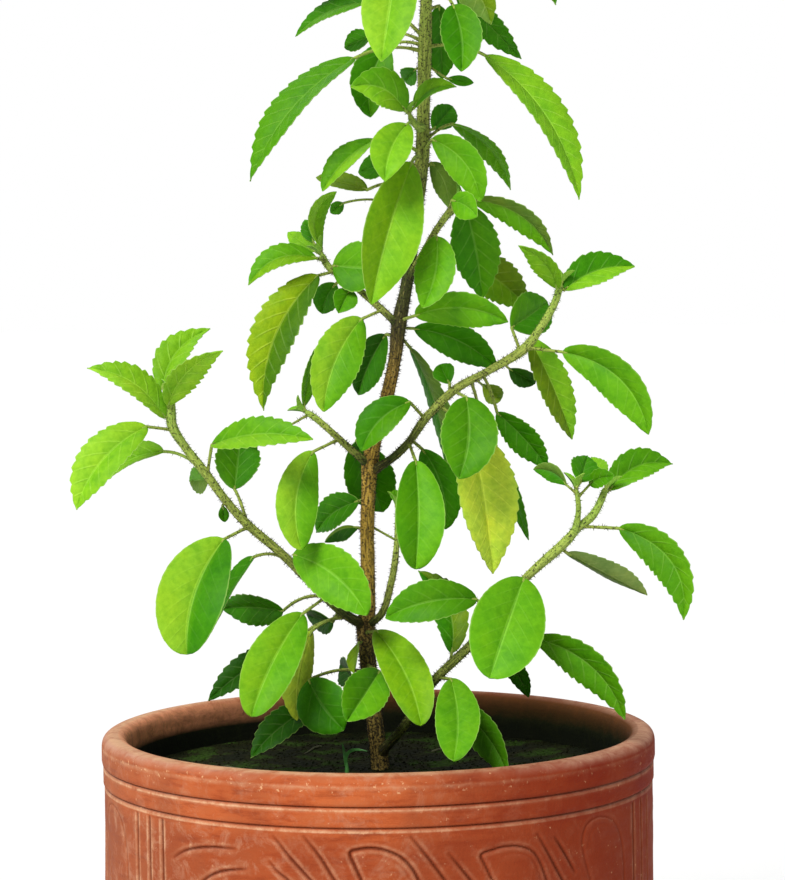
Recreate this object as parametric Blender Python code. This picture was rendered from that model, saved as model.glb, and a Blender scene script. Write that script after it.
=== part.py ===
"""Holy basil in a round terracotta pot, 200 mm across the rim.

The pot is turned about +Z and stands on z = 0. The soil fills it, the woody
main stem stands in a hole in the soil, and each side branch with its leaves is
a piece of its own that meets the main stem in a fitted saddle.

The plant is laid out on an upright plane through the stem, in millimetres
across and up from the soil, as an eye one metre in front sees it. A third
value, near, slides a point along its sight line toward that eye, so leaves
come forward or go back without leaving their place in the view.
"""

import math
import random

import bmesh
import bpy
from mathutils import Matrix, Vector

MM = 0.001

# Pot, millimetres
POT_HEIGHT = 160.0
RIM_RADIUS = 100.0
CREST_RADIUS = 95.0
THROAT_RADIUS = 90.4
LIP_DEPTH = 8.5
WALL_RADIUS = 99.2
FOOT_RADIUS = 84.0
FOOT_ROUNDING = 15.0
FLOOR_THICKNESS = 11.0
INNER_FLOOR_RADIUS = 80.0
INNER_CORNER = 9.0
GROOVES_BELOW_CREST = (10.5, 17.8)
GROOVE_DEPTH = 1.3
GROOVE_HALF_WIDTH = 1.7
POT_SIDES = 40
DRAIN_HOLES = 3
DRAIN_HOLE_RADIUS = 5.0
DRAIN_CIRCLE_RADIUS = 38.0
CUTTER_OVERRUN = 5.0
SMOOTH_BELOW_DEG = 35.0

# Soil, millimetres
SOIL_LEVEL = 144.0
SOIL_GAP = 0.3
SOIL_RINGS = (18.0, 42.0, 68.0)
SOIL_ROUGHNESS = 1.3
SOIL_SEED = 4
STEM_HOLE_DEPTH = 40.0
STEM_HOLE_RADIUS = 3.75
SEEDLING_HOLE_DEPTH = 9.0
SEEDLING_HOLE_RADIUS = 1.6

# The eye that the layout is drawn from, millimetres
EYE_AWAY = 1000.0
EYE_ABOVE_SOIL = 176.0
DEPTH_SPREAD = 1.3

# Stems and leaves
SADDLE_CLEARANCE = 0.33
TRUNK_SIDES = 8
BRANCH_SIDES = 6
BLADE_THICKNESS = 0.7
PETIOLE_RADIUS = 0.75
TIP_HALF_WIDTH = 0.8
TOOTH_DEPTH = 0.07
TOOTH_PEAK = 0.78
BARE_SHARE = 0.05
BARE_LENGTH = 1.2
TWO_TEETH_LENGTH = 14.0
THREE_TEETH_LENGTH = 32.0
BLADE_FULLNESS = 0.70
BLADE_SHIFT = 0.80
CREASED_WIDTH = 9.0
LONG_PETIOLE = 14.0
PETIOLE_ARCH = 0.10

# Centre lines, each point across, up, near and radius in millimetres.
# The first line of a node is its main axis, and the others fork from it.
STEMS = {
    "main_stem": (
        (
            (0.5, -38.0, 0.0, 3.1), (0.5, 0.0, 0.0, 3.2), (-0.6, 12.0, 0.0, 3.0),
            (-2.0, 25.0, 0.0, 2.9), (-3.6, 40.0, 0.0, 2.9), (-4.2, 53.0, 0.0, 3.4),
            (-3.2, 62.0, 0.0, 2.6), (-3.3, 87.0, 0.0, 2.5), (-2.8, 99.0, 0.0, 2.5),
            (-2.0, 112.0, 0.0, 2.9), (0.6, 123.0, 0.0, 2.3), (4.6, 137.0, 0.0, 2.3),
            (7.4, 150.0, 0.0, 2.3), (8.9, 162.0, 0.0, 2.7), (12.0, 177.0, -1.0, 2.2),
            (15.5, 201.0, -3.0, 2.2), (17.9, 222.0, -3.0, 2.6), (18.6, 240.0, -3.0, 2.3),
            (19.2, 260.0, -2.0, 2.5), (20.0, 278.0, -1.0, 2.1), (21.0, 293.0, 0.0, 2.3),
            (21.6, 322.0, 1.0, 1.9), (20.8, 350.0, 0.0, 1.7), (19.4, 373.0, -2.0, 1.4),
            (18.4, 391.0, -3.0, 1.0),
        ),
        ((18.2, 232.0, -3.0, 1.4), (14.8, 234.5, 4.0, 1.2), (13.3, 238.0, 6.0, 0.9)),
    ),
    "branch_low_left": (
        (
            (-4.2, 53.5, 0.0, 1.9), (-11.0, 57.0, 4.0, 1.8), (-22.0, 67.0, 6.0, 1.6),
            (-33.0, 78.5, 8.0, 1.6), (-46.5, 90.5, 10.0, 1.6), (-54.0, 99.0, 11.0, 1.5),
            (-62.0, 110.0, 12.0, 1.6), (-68.5, 118.5, 13.0, 1.5), (-73.0, 126.0, 14.0, 1.8),
            (-74.5, 134.0, 14.0, 1.8), (-76.0, 142.0, 14.0, 1.4),
        ),
    ),
    "branch_low_right": (
        (
            (0.3, 6.5, 0.0, 1.9), (7.0, 13.5, 8.0, 1.7), (13.0, 22.0, 14.0, 1.6),
            (20.5, 33.0, 20.0, 1.6), (34.5, 46.5, 26.0, 1.6), (44.0, 58.0, 28.0, 1.5),
            (54.0, 70.0, 27.0, 1.5), (67.0, 81.5, 26.0, 1.8), (73.0, 88.0, 25.0, 1.4),
            (77.5, 91.5, 25.0, 1.5), (80.5, 96.0, 24.0, 1.3), (83.5, 103.0, 23.0, 1.2),
        ),
        ((72.0, 86.5, 25.2, 1.1), (73.2, 95.0, 27.0, 0.9), (72.3, 103.0, 28.0, 0.8)),
    ),
    "branch_mid_left": (
        (
            (-2.2, 111.5, 0.0, 1.5), (-8.0, 116.5, 3.0, 1.3), (-14.0, 122.0, 5.0, 1.2),
            (-21.0, 128.3, 6.0, 1.2), (-25.6, 131.5, 6.0, 1.1),
        ),
    ),
    "branch_mid_right": (
        (
            (-1.5, 109.5, 0.0, 1.6), (5.5, 113.5, 3.0, 1.5), (12.0, 119.5, 4.0, 1.5),
            (18.5, 128.5, 5.0, 1.6), (29.0, 138.5, 5.0, 1.5), (41.0, 145.0, 4.0, 1.4),
            (53.5, 152.5, 3.0, 1.8), (60.0, 160.5, 2.0, 1.4), (65.0, 169.0, 1.0, 1.4),
            (67.5, 177.0, 0.0, 1.2),
        ),
    ),
    "branch_upper_left": (
        (
            (9.0, 161.5, 0.0, 1.5), (3.5, 167.0, 1.0, 1.3), (-8.0, 177.0, -3.0, 1.2),
            (-16.0, 183.0, -5.0, 1.3), (-19.0, 188.5, -6.0, 1.2),
        ),
    ),
    "branch_upper_right": (
        (
            (12.2, 178.0, -1.0, 1.4), (17.5, 187.0, 2.0, 1.2), (22.5, 195.5, 4.0, 1.2),
            (27.5, 202.5, 5.0, 1.2), (30.5, 207.0, 5.0, 0.8),
        ),
    ),
    "centre_shoot": (
        (
            (-4.0, 53.0, 0.0, 1.3), (1.6, 57.5, 4.5, 1.3), (4.5, 66.0, 6.5, 1.3),
            (6.6, 76.0, 7.0, 1.2), (7.4, 86.0, 6.0, 0.9), (7.6, 97.0, 5.0, 0.7),
        ),
    ),
}

# Leaves, one row each, in millimetres and degrees:
#   petiole root on the stem, blade base and blade tip as (across, up, near),
#   blade width, turn of the face about its length (left edge forward is
#   positive), fold of the two halves toward the eye, and the arch of the
#   midrib at half length as (to the left of its run, toward the eye).
LEAVES = {
    "main_stem": (
        # low node, over the soil
        ((-3.9, 50.8, 2), (-0.5, 51.2, 9), (15.5, 16.5, 36), 17, -15, 20, (3, 4)),
        ((-3.4, 38.5, 2), (0.6, 36.5, 9), (-11.5, 18.3, 27), 17, 10, 20, (0, 2)),
        ((-3.5, 36.0, 1), (-25.0, 33.6, 7), (-12.5, 15.3, 15), 19, 0, 12, (-1, 2)),
        ((-3.4, 33.0, -1), (-9.0, 33.5, -6), (-13.6, 39.8, -19), 11, -30, 20, (0, 0)),
        ((-2.4, 27.0, -1), (-22.0, 25.0, -5), (-46.5, 5.4, 6), 13, 35, 15, (-2, 2)),
        ((-4.0, 47.5, 0), (-6.9, 47.0, 4), (-8.6, 36.0, 9), 8, 62, 10, (0, 0)),
        # up the bare stretch
        ((-3.3, 88.5, 0), (-6.4, 88.8, -1), (-18.6, 83.8, -1), 10, 58, -12, (-2, 0)),
        ((-3.0, 90.0, 0), (6.6, 84.5, -2), (14.0, 78.0, -5), 7, 0, 0, (2, 0)),
        ((-2.8, 99.5, 0), (-6.2, 98.5, -4), (-21.7, 87.3, -17), 13, 28, 18, (-2, 0)),
        ((-1.8, 114.0, 0), (-6.8, 120.5, -8), (2.2, 94.5, -22), 19, 0, 14, (0, 0)),
        # node below the middle
        ((8.4, 158.5, 0), (4.2, 158.5, -6), (-6.0, 137.0, -17), 14, 20, 15, (-1, 0)),
        ((9.0, 163.5, 0), (15.0, 165.3, 5), (48.2, 162.6, 14), 15, 32, 10, (4, 3)),
        ((9.0, 161.0, 0), (14.5, 160.6, -5), (43.6, 146.3, -12), 14, 15, 18, (3, 0)),
        ((9.0, 158.5, 0), (13.0, 153.5, -9), (26.0, 107.5, -17), 13, 56, -12, (3, 0)),
        # node under the front leaf
        ((17.8, 221.5, -3), (14.0, 219.8, 10), (-1.0, 169.3, 27), 23.5, -22, 22, (-1.3, 4)),
        ((17.8, 223.0, -3), (1.0, 228.5, 3), (-18.0, 210.2, 9), 11, 40, 18, (-2, 2)),
        ((16.2, 211.0, -3), (-2.0, 210.5, -13), (-20.2, 215.2, -21), 9, 42, 14, (-0.5, 0)),
        ((17.6, 219.0, -3), (8.0, 220.5, -7), (-5.0, 217.0, -15), 10, 20, 15, (0, 0)),
        ((15.2, 202.0, -3), (-10.5, 205.9, -11), (-15.2, 202.5, -14), 5, 0, 0, (0, 0)),
        ((18.0, 223.5, -3), (21.6, 228.3, 3), (38.6, 206.0, 8), 14, 18, 15, (4, 2)),
        ((18.2, 226.5, -3), (29.0, 233.8, -8), (49.5, 210.0, -15), 10, 50, 10, (4, 0)),
        ((18.4, 231.0, -3), (22.0, 232.0, -11), (29.0, 240.0, -21), 10, 0, 15, (0, 0)),
        ((17.6, 216.5, -3), (21.0, 220.0, -6), (27.2, 204.0, -5), 9, 0, -15, (2, 0)),
        ((13.4, 237.8, 6), (11.8, 238.8, 9), (-7.6, 247.3, 15), 15, 20, 12, (-4, 0)),
        ((13.3, 238.3, 6), (15.4, 239.9, 7), (30.4, 247.0, 6), 9, -48, 15, (3, 2)),
        ((14.6, 235.2, 4), (12.6, 233.8, 12), (4.5, 213.5, 28), 15, 8, 18, (-2, 3)),
        # node at the top of the drooping pair
        ((18.9, 259.5, -2), (-6.0, 257.5, 6), (-44.0, 214.0, 14), 19, 52, 14, (-5, 4)),
        ((18.9, 261.5, -2), (6.0, 262.0, -7), (-0.5, 236.5, -2), 16, 0, 18, (-3, 0)),
        ((18.9, 264.5, -2), (-1.0, 277.5, -10), (-27.0, 265.5, -18), 11, 50, 12, (-3, 0)),
        ((18.9, 263.0, -2), (0.0, 265.5, -12), (-9.5, 261.5, -17), 9, 20, 10, (0, 0)),
        ((18.9, 254.5, -2), (16.0, 253.5, -5), (11.8, 249.3, -12), 8, 0, 10, (0, 0)),
        ((18.9, 255.5, -2), (27.0, 250.0, -6), (36.6, 248.4, -9), 4, 0, 0, (0, 0)),
        ((19.2, 261.0, -2), (41.0, 258.0, 3), (74.2, 206.3, 9), 19, -45, 14, (6, 4)),
        ((19.8, 274.5, -1), (24.5, 276.0, -6), (25.5, 250.0, -17), 12, 0, 12, (0, 0)),
        # node above the view, whose leaves hang into it
        ((20.9, 291.0, 0), (10.0, 294.5, 10), (3.6, 256.2, 26), 20, 8, 18, (0, 4)),
        ((20.4, 286.0, 0), (29.5, 276.0, 10), (32.2, 252.5, 20), 16, 0, 24, (1.5, 2)),
        ((21.0, 292.0, 0), (27.5, 290.0, 2), (43.0, 269.0, 6), 14, 15, 12, (3, 0)),
        ((20.8, 289.0, 0), (31.0, 281.0, -10), (53.8, 256.7, -18), 11, 30, 12, (0, 0)),
        ((21.2, 295.0, 0), (36.0, 301.0, 0), (66.3, 275.8, 8), 16, -30, 14, (6, 3)),
        ((21.0, 295.5, 0), (4.0, 301.0, -6), (-26.0, 284.0, -10), 17, 30, 14, (-5, 0)),
    ),
    "branch_low_left": (
        ((-75.0, 135.0, 14), (-77.6, 134.8, 15.5), (-103.5, 147.6, 19), 11, 42, 15, (-4.5, 2)),
        ((-76.0, 141.5, 14), (-76.5, 145.0, 11), (-59.0, 161.3, 1), 11, -30, 20, (3, 0)),
        ((-75.2, 138.5, 14), (-73.3, 141.0, 17.5), (-54.6, 153.3, 27), 10, 45, 14, (1.5, 0)),
        ((-73.0, 125.0, 14), (-82.5, 126.3, 17), (-108.2, 96.5, 27), 17, 22, 18, (-4, 5)),
        ((-63.5, 111.5, 12), (-76.5, 117.2, 9), (-99.5, 104.8, 4), 13, 50, 28, (-3, 0)),
        ((-61.5, 108.5, 12), (-60.5, 107.0, 8), (-67.3, 106.5, -3), 10, 0, 10, (0, 0)),
        ((-60.8, 109.0, 12), (-59.0, 119.4, 18), (-22.5, 121.0, 30), 13, -35, 16, (3, 3)),
        ((-46.8, 91.0, 10), (-51.0, 103.2, 3), (-48.5, 124.0, -12), 17, 0, 15, (0, -2)),
        ((-54.8, 99.0, 11), (-55.4, 97.5, 9), (-54.7, 91.5, 6), 4, 0, 0, (0, 0)),
        ((-46.5, 89.5, 10), (-55.0, 85.3, 15), (-69.0, 43.5, 27), 26, 8, 24, (-4, 5)),
        ((-33.0, 78.0, 8), (-44.5, 78.6, 2), (-59.6, 52.6, -4), 12, 64, 20, (-1, 0)),
        ((-28.0, 74.5, 7), (-30.0, 79.3, 11), (-3.8, 57.0, 26), 19, 0, 12, (4, 3)),
        ((-18.5, 64.0, 5), (-27.0, 57.8, 11), (-46.0, 20.5, 32), 19, 8, 16, (-2, 4)),
        ((-18.0, 63.5, 5), (-34.0, 59.0, -9), (-56.5, 60.0, -21), 15, -28, 15, (-1, 0)),
        ((-10.5, 56.7, 3.7), (-23.8, 51.5, 2), (-29.5, 19.0, 4), 14, -35, -15, (-2, 0)),
        ((-9.5, 56.2, 3.1), (-33.0, 45.0, -12), (-61.5, 26.5, -7), 12, 30, 15, (-2, 2)),
        ((-12.0, 58.0, 4.3), (-16.0, 54.8, -7), (-25.5, 57.5, -19), 12, -35, 20, (0, 0)),
    ),
    "branch_low_right": (
        ((21.5, 34.0, 20), (26.5, 33.4, 26), (27.0, 3.4, 54), 16, 5, 14, (2, 2)),
        ((17.0, 28.0, 17), (26.5, 24.0, 20), (46.8, -2.2, 36), 13, 22, 14, (3, 0)),
        ((26.5, 39.5, 22), (26.8, 43.0, 17), (15.0, 73.0, 6), 13, 10, 15, (-5, 0)),
        ((42.5, 56.5, 28), (36.0, 62.3, 31), (3.0, 56.0, 32), 15, 20, 15, (-3, 4)),
        ((53.5, 69.5, 27), (53.3, 69.8, 31), (40.6, 33.5, 50), 26.5, 0, 14, (-0.5, 3)),
        ((37.0, 49.5, 26), (43.0, 46.0, 22), (54.5, 26.5, 12), 8, 30, 0, (1, 0)),
        ((46.0, 60.5, 28), (57.0, 48.0, 29), (89.5, 18.0, 34), 15, 30, 14, (6, 3)),
        ((66.5, 81.0, 26), (69.0, 78.8, 22), (97.8, 63.2, 8), 12, 52, -22, (0, 0)),
        ((74.0, 88.5, 25), (88.0, 87.6, 27), (111.0, 54.0, 36), 15, 28, 18, (8, 4)),
        ((72.3, 102.5, 28), (74.0, 104.5, 28), (76.5, 114.0, 16), 11, 0, 15, (0, 0)),
        ((72.4, 100.5, 27.8), (69.0, 103.5, 29), (57.0, 109.3, 24), 7, -25, 0, (-2, 0)),
        ((73.4, 99.5, 27.6), (77.5, 102.0, 25), (86.0, 104.0, 32), 7, -20, 0, (1, 0)),
        ((83.0, 101.0, 23.3), (87.0, 103.0, 21), (107.3, 110.7, 12), 12, -30, 20, (4, 0)),
        ((83.2, 102.3, 23), (82.5, 106.5, 17), (78.0, 113.5, 6), 7, 0, 0, (0, 0)),
    ),
    "branch_mid_left": (
        ((-13.0, 121.0, 5), (-22.5, 116.6, 12), (-27.0, 81.2, 22), 16, -20, 16, (-4, 3)),
        ((-25.2, 131.0, 6), (-25.8, 133.0, 5), (-19.0, 156.0, 0), 9, 55, 10, (1, 0)),
        ((-24.0, 130.0, 6), (-31.0, 126.0, 1), (-49.0, 123.5, -5), 7, 0, 0, (0, 0)),
    ),
    "branch_mid_right": (
        ((18.0, 128.0, 5), (12.5, 134.2, 10), (-5.0, 116.6, 14), 14, 25, 15, (-3, 2)),
        ((12.0, 119.5, 4), (14.5, 112.8, 10), (14.0, 73.6, 22), 19, -10, 20, (1, 3)),
        ((13.0, 120.5, 4), (17.0, 117.0, -2), (25.0, 88.0, -7), 15, 20, 12, (3, 0)),
        ((28.5, 138.0, 5), (33.0, 135.5, 13), (30.0, 106.2, 26), 21, 0, 16, (2, 3)),
        ((23.0, 133.0, 5), (34.0, 125.0, 5), (42.0, 71.6, 10), 24, -20, 18, (1, 3)),
        ((38.5, 144.0, 4), (44.0, 130.0, -6), (62.5, 109.2, -12), 12, 22, 14, (1, 0)),
        ((34.5, 141.5, 4), (38.5, 124.0, -11), (55.0, 83.7, -13), 9, 50, 0, (1, 0)),
        ((27.0, 136.8, 5), (27.0, 140.5, 1), (23.5, 147.5, -4), 9, 0, 10, (0, 0)),
        ((36.0, 142.3, 4), (39.0, 140.0, -6), (45.2, 134.3, -14), 8, 0, 10, (0, 0)),
        ((46.0, 148.0, 3), (48.5, 145.8, -1), (57.8, 140.3, -7), 8, 20, 10, (0, 0)),
        ((53.8, 152.5, 3), (56.0, 156.5, -4), (71.0, 120.0, -9), 14, -25, 15, (1, 2)),
        ((54.6, 153.3, 3), (68.0, 151.6, 6), (98.6, 121.5, 15), 17, 30, 18, (7, 4)),
        ((52.6, 151.8, 3), (49.5, 160.5, -4), (62.5, 169.5, -20), 17, 0, 15, (0, 0)),
        ((67.2, 176.5, 0), (66.3, 178.0, 3), (52.2, 190.0, 10), 9, -42, 14, (-2, 2)),
        ((67.3, 175.8, 0), (71.0, 175.0, 0), (94.0, 182.0, -6), 14, -28, 22, (2, 0)),
    ),
    "branch_upper_left": (
        ((-18.8, 188.0, -6), (-18.6, 190.0, -6), (-13.0, 210.0, -9), 9, 45, 10, (5, 0)),
        ((-18.2, 187.0, -5.8), (-21.0, 188.8, -11), (-30.6, 195.6, -19), 7, 20, 0, (0, 0)),
        ((-17.2, 185.3, -5.4), (-20.5, 186.2, 0), (-45.0, 176.8, 4), 11, 38, 15, (-5, 2)),
        ((-14.0, 181.5, -5), (-20.0, 180.0, -1), (-40.2, 131.6, 7), 18, 18, 20, (-6, 4)),
        ((-14.8, 182.2, -4.8), (-14.5, 183.4, -1), (3.0, 182.0, 3), 19, -10, 12, (0, 0)),
        ((-18.9, 188.2, -6), (-21.5, 192.0, -13), (-24.5, 200.0, -21), 6, 0, 0, (0, 0)),
        ((-11.0, 179.5, -4), (-13.5, 177.0, -7), (-18.6, 166.3, -13), 10, 10, 10, (-1, 0)),
        ((-7.5, 176.5, -3), (-8.5, 175.0, 0), (-12.8, 166.5, 5), 10, 0, 10, (0, 0)),
        ((3.0, 167.5, 1), (-4.5, 164.2, 6), (-18.5, 131.0, 19), 18, -10, 16, (-3, 4)),
    ),
    "branch_upper_right": (
        ((22.0, 194.5, 4), (22.8, 193.5, 9), (17.5, 168.0, 19), 15, 10, 16, (2, 2)),
        ((25.0, 199.3, 5), (33.0, 205.0, -2), (39.0, 171.0, -7), 18, 0, 12, (1, 0)),
        ((19.0, 189.5, 3), (30.0, 186.0, -10), (56.0, 167.0, -24), 16, 0, 12, (2, 0)),
        ((27.0, 202.0, 5), (28.5, 206.5, 10), (37.5, 200.5, 18), 10, 15, 10, (1, 0)),
        ((29.5, 205.8, 5), (36.0, 206.5, 3), (64.6, 186.5, 0), 12, 42, 14, (5, 2)),
    ),
    "centre_shoot": (
        ((7.6, 96.5, 5), (7.6, 98.0, 5), (6.8, 102.5, 3), 4, 0, 0, (0, 0)),
        ((7.5, 92.0, 5.5), (9.5, 93.5, 1), (19.0, 92.0, -4), 7, 0, 0, (1, 0)),
    ),
}

# The top of the plant, in pairs of leaves, each pair at right angles to the
# one below, shorter and more upright toward the tip. A row is the height of
# the pair, blade length, petiole length, rise of the blade and its droop.
CROWN_NODE = "main_stem"
CROWN_PAIRS = (
    (322.0, 43.0, 10.0, 8.0, 9.0),
    (350.0, 35.0, 7.0, 24.0, 6.0),
    (373.0, 26.0, 4.0, 44.0, 3.0),
    (390.0, 16.0, 1.5, 66.0, 1.0),
)
CROWN_FIRST_HEADING = 62.0
CROWN_WIDTH_SHARE = 0.44
CROWN_FOLD = 18.0
CROWN_STALK_LIFT = 0.25
CROWN_ARCH = 0.5

# The grass seedling by the stem: blades from one root, as across, up and near
SEEDLING_FOOT_GAP = 0.5
SEEDLING_BLADES = (
    ((-11.6, 0.0, 6.0), (-12.2, 5.0, 6.0), (-13.2, 10.5, 5.0)),
    ((-11.4, 0.0, 6.0), (-11.0, 7.0, 7.0), (-4.2, 7.4, 9.0)),
)
SEEDLING_RADIUS = 0.55
SEEDLING_NECK_RADIUS = 0.9
SEEDLING_TIP_RADIUS = 0.35
SEEDLING_STEPS = 4

MATERIALS = {
    "terracotta": ((0.55, 0.20, 0.10, 1.0), 0.85),
    "potting_soil": ((0.020, 0.022, 0.012, 1.0), 0.95),
    "woody_stem": ((0.20, 0.12, 0.05, 1.0), 0.80),
    "basil_leaf": ((0.13, 0.33, 0.03, 1.0), 0.50),
    "seedling_green": ((0.10, 0.30, 0.06, 1.0), 0.60),
}


def seen(across, up, near=0.0):
    """World point, in millimetres, of a layout point at a chosen depth."""
    depth = near * DEPTH_SPREAD
    reach = (EYE_AWAY - depth) / EYE_AWAY
    height = EYE_ABOVE_SOIL + (up - EYE_ABOVE_SOIL) * reach
    return Vector((across * reach, -depth, SOIL_LEVEL + height))


def material(name):
    """The Principled material of that name, made once."""
    found = bpy.data.materials.get(name)
    if found:
        return found
    colour, roughness = MATERIALS[name]
    made = bpy.data.materials.new(name)
    made.use_nodes = True
    made.diffuse_color = colour
    shader = made.node_tree.nodes["Principled BSDF"]
    shader.inputs["Base Color"].default_value = colour
    shader.inputs["Roughness"].default_value = roughness
    shader.inputs["Metallic"].default_value = 0.0
    return made


def add_object(name, bm, material_name):
    """Link a bmesh in millimetres as an object in metres, faces out."""
    bmesh.ops.recalc_face_normals(bm, faces=bm.faces)
    bm.transform(Matrix.Scale(MM, 4))
    mesh = bpy.data.meshes.new(name)
    bm.to_mesh(mesh)
    bm.free()
    obj = bpy.data.objects.new(name, mesh)
    obj.data.materials.append(material(material_name))
    bpy.context.scene.collection.objects.link(obj)
    return obj


def bake_boolean(obj, operation, cutter=None, collection=None):
    """Apply one Boolean to obj, then remove what it was joined to or cut with."""
    modifier = obj.modifiers.new(operation.lower(), "BOOLEAN")
    modifier.operation = operation
    modifier.solver = "EXACT"
    if collection:
        modifier.operand_type = "COLLECTION"
        modifier.collection = collection
    else:
        modifier.object = cutter
    evaluated = obj.evaluated_get(bpy.context.evaluated_depsgraph_get())
    baked = bpy.data.meshes.new_from_object(evaluated)
    obj.modifiers.clear()
    obj.data = baked
    used = list(collection.objects) if collection else [cutter]
    for helper in used:
        bpy.data.objects.remove(helper)
    if collection:
        bpy.data.collections.remove(collection)


def arc(centre, radii, start, end, steps):
    """Points of an elliptical arc in the (radius, height) plane."""
    points = []
    for i in range(steps + 1):
        angle = math.radians(start + (end - start) * i / steps)
        points.append((
            centre[0] + radii[0] * math.cos(angle),
            centre[1] + radii[1] * math.sin(angle),
        ))
    return points


def pot_profile():
    """Outline of the pot wall from the middle of its underside, up the outside,
    over the lip and down the inside to the middle of its floor."""
    foot = arc(
        (FOOT_RADIUS, FOOT_ROUNDING),
        (WALL_RADIUS - FOOT_RADIUS, FOOT_ROUNDING), -90.0, 0.0, 3,
    )
    wall = []
    for drop in sorted(GROOVES_BELOW_CREST, reverse=True):
        height = POT_HEIGHT - drop
        wall += [
            (WALL_RADIUS, height - GROOVE_HALF_WIDTH),
            (WALL_RADIUS - GROOVE_DEPTH, height),
            (WALL_RADIUS, height + GROOVE_HALF_WIDTH),
        ]
    spring = POT_HEIGHT - LIP_DEPTH
    outer = arc((CREST_RADIUS, spring), (RIM_RADIUS - CREST_RADIUS, LIP_DEPTH), 0, 90, 3)
    inner = arc((CREST_RADIUS, spring), (CREST_RADIUS - THROAT_RADIUS, LIP_DEPTH), 90, 180, 3)
    corner = arc(
        (INNER_FLOOR_RADIUS, FLOOR_THICKNESS + INNER_CORNER),
        (THROAT_RADIUS - INNER_FLOOR_RADIUS, INNER_CORNER), 0.0, -90.0, 2,
    )
    rim = outer + inner[1:]
    return [(0.0, 0.0)] + foot + wall + rim + corner + [(0.0, FLOOR_THICKNESS)]


def turned(profile, sides):
    """Closed bmesh of a (radius, height) outline turned about +Z."""
    bm = bmesh.new()
    rings = []
    for radius, height in profile:
        if radius == 0.0:
            rings.append([bm.verts.new((0.0, 0.0, height))])
            continue
        ring = []
        for i in range(sides):
            angle = 2.0 * math.pi * (i + 0.5) / sides
            ring.append(bm.verts.new((radius * math.cos(angle), radius * math.sin(angle), height)))
        rings.append(ring)
    for lower, upper in zip(rings, rings[1:]):
        for i in range(sides):
            j = (i + 1) % sides
            corners = [lower[i % len(lower)], lower[j % len(lower)],
                       upper[j % len(upper)], upper[i % len(upper)]]
            bm.faces.new(list(dict.fromkeys(corners)))
    return bm


def upright_hole(name, place, radius, bottom, top):
    """Cutter: an upright rod from bottom to top, both heights over the place."""
    bm = bmesh.new()
    bmesh.ops.create_cone(
        bm, cap_ends=True, segments=12, radius1=radius, radius2=radius, depth=top - bottom,
    )
    middle = place + Vector((0.0, 0.0, (bottom + top) / 2.0))
    bmesh.ops.translate(bm, verts=bm.verts, vec=middle)
    return add_object(name, bm, "potting_soil")


def build_pot():
    pot = add_object("pot", turned(pot_profile(), POT_SIDES), "terracotta")
    for i in range(DRAIN_HOLES):
        angle = 2.0 * math.pi * i / DRAIN_HOLES
        place = Vector((math.cos(angle), math.sin(angle), 0.0)) * DRAIN_CIRCLE_RADIUS
        above = FLOOR_THICKNESS + CUTTER_OVERRUN
        hole = upright_hole("drain_hole", place, DRAIN_HOLE_RADIUS, -CUTTER_OVERRUN, above)
        bake_boolean(pot, "DIFFERENCE", cutter=hole)
    pot.data.shade_smooth()
    pot.data.set_sharp_from_angle(angle=math.radians(SMOOTH_BELOW_DEG))


def build_soil():
    """Soil up to a slightly rough top, with plain holes for stem and seedling."""
    rng = random.Random(SOIL_SEED)
    wall = THROAT_RADIUS - SOIL_GAP
    corner = arc(
        (INNER_FLOOR_RADIUS, FLOOR_THICKNESS + INNER_CORNER),
        (wall - INNER_FLOOR_RADIUS, INNER_CORNER - SOIL_GAP), -90.0, 0.0, 2,
    )
    top = [(radius, SOIL_LEVEL) for radius in reversed(SOIL_RINGS)]
    profile = [(0.0, FLOOR_THICKNESS + SOIL_GAP)] + corner
    profile += [(wall, SOIL_LEVEL)] + top + [(0.0, SOIL_LEVEL)]
    bm = turned(profile, POT_SIDES)
    for vert in bm.verts:
        radius = math.hypot(vert.co.x, vert.co.y)
        on_top = abs(vert.co.z - SOIL_LEVEL) < SOIL_GAP
        if on_top and radius > SOIL_RINGS[0] + SOIL_GAP:
            vert.co.z += rng.uniform(-SOIL_ROUGHNESS, SOIL_ROUGHNESS)
    soil = add_object("soil", bm, "potting_soil")
    stem_foot = STEMS["main_stem"][0][1]
    holes = (
        (seen(*stem_foot[:3]), STEM_HOLE_RADIUS, STEM_HOLE_DEPTH),
        (seen(*SEEDLING_BLADES[0][0]), SEEDLING_HOLE_RADIUS, SEEDLING_HOLE_DEPTH),
    )
    for place, radius, depth in holes:
        place.z = SOIL_LEVEL
        hole = upright_hole("planting_hole", place, radius, -depth, CUTTER_OVERRUN)
        bake_boolean(soil, "DIFFERENCE", cutter=hole)


def tube(points, radii, sides):
    """Closed tube along a run of points, with a flat cap at each end."""
    bm = bmesh.new()
    rings = []
    side = Vector((0.0, -1.0, 0.0))
    for i, (point, radius) in enumerate(zip(points, radii)):
        ahead = points[min(i + 1, len(points) - 1)] - points[max(i - 1, 0)]
        ahead.normalize()
        side = (side - ahead * side.dot(ahead)).normalized()
        other = ahead.cross(side)
        ring = []
        for k in range(sides):
            angle = 2.0 * math.pi * k / sides
            out = side * math.cos(angle) + other * math.sin(angle)
            ring.append(bm.verts.new(point + out * radius))
        rings.append(ring)
    for lower, upper in zip(rings, rings[1:]):
        for k in range(sides):
            j = (k + 1) % sides
            bm.faces.new((lower[k], lower[j], upper[j], upper[k]))
    bm.faces.new(reversed(rings[0]))
    bm.faces.new(rings[-1])
    return bm


def stem_tube(line, sides, extra=0.0):
    """Tube of one centre line of STEMS, fattened by extra."""
    points = [seen(*row[:3]) for row in line]
    return tube(points, [row[3] + extra for row in line], sides)


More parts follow.
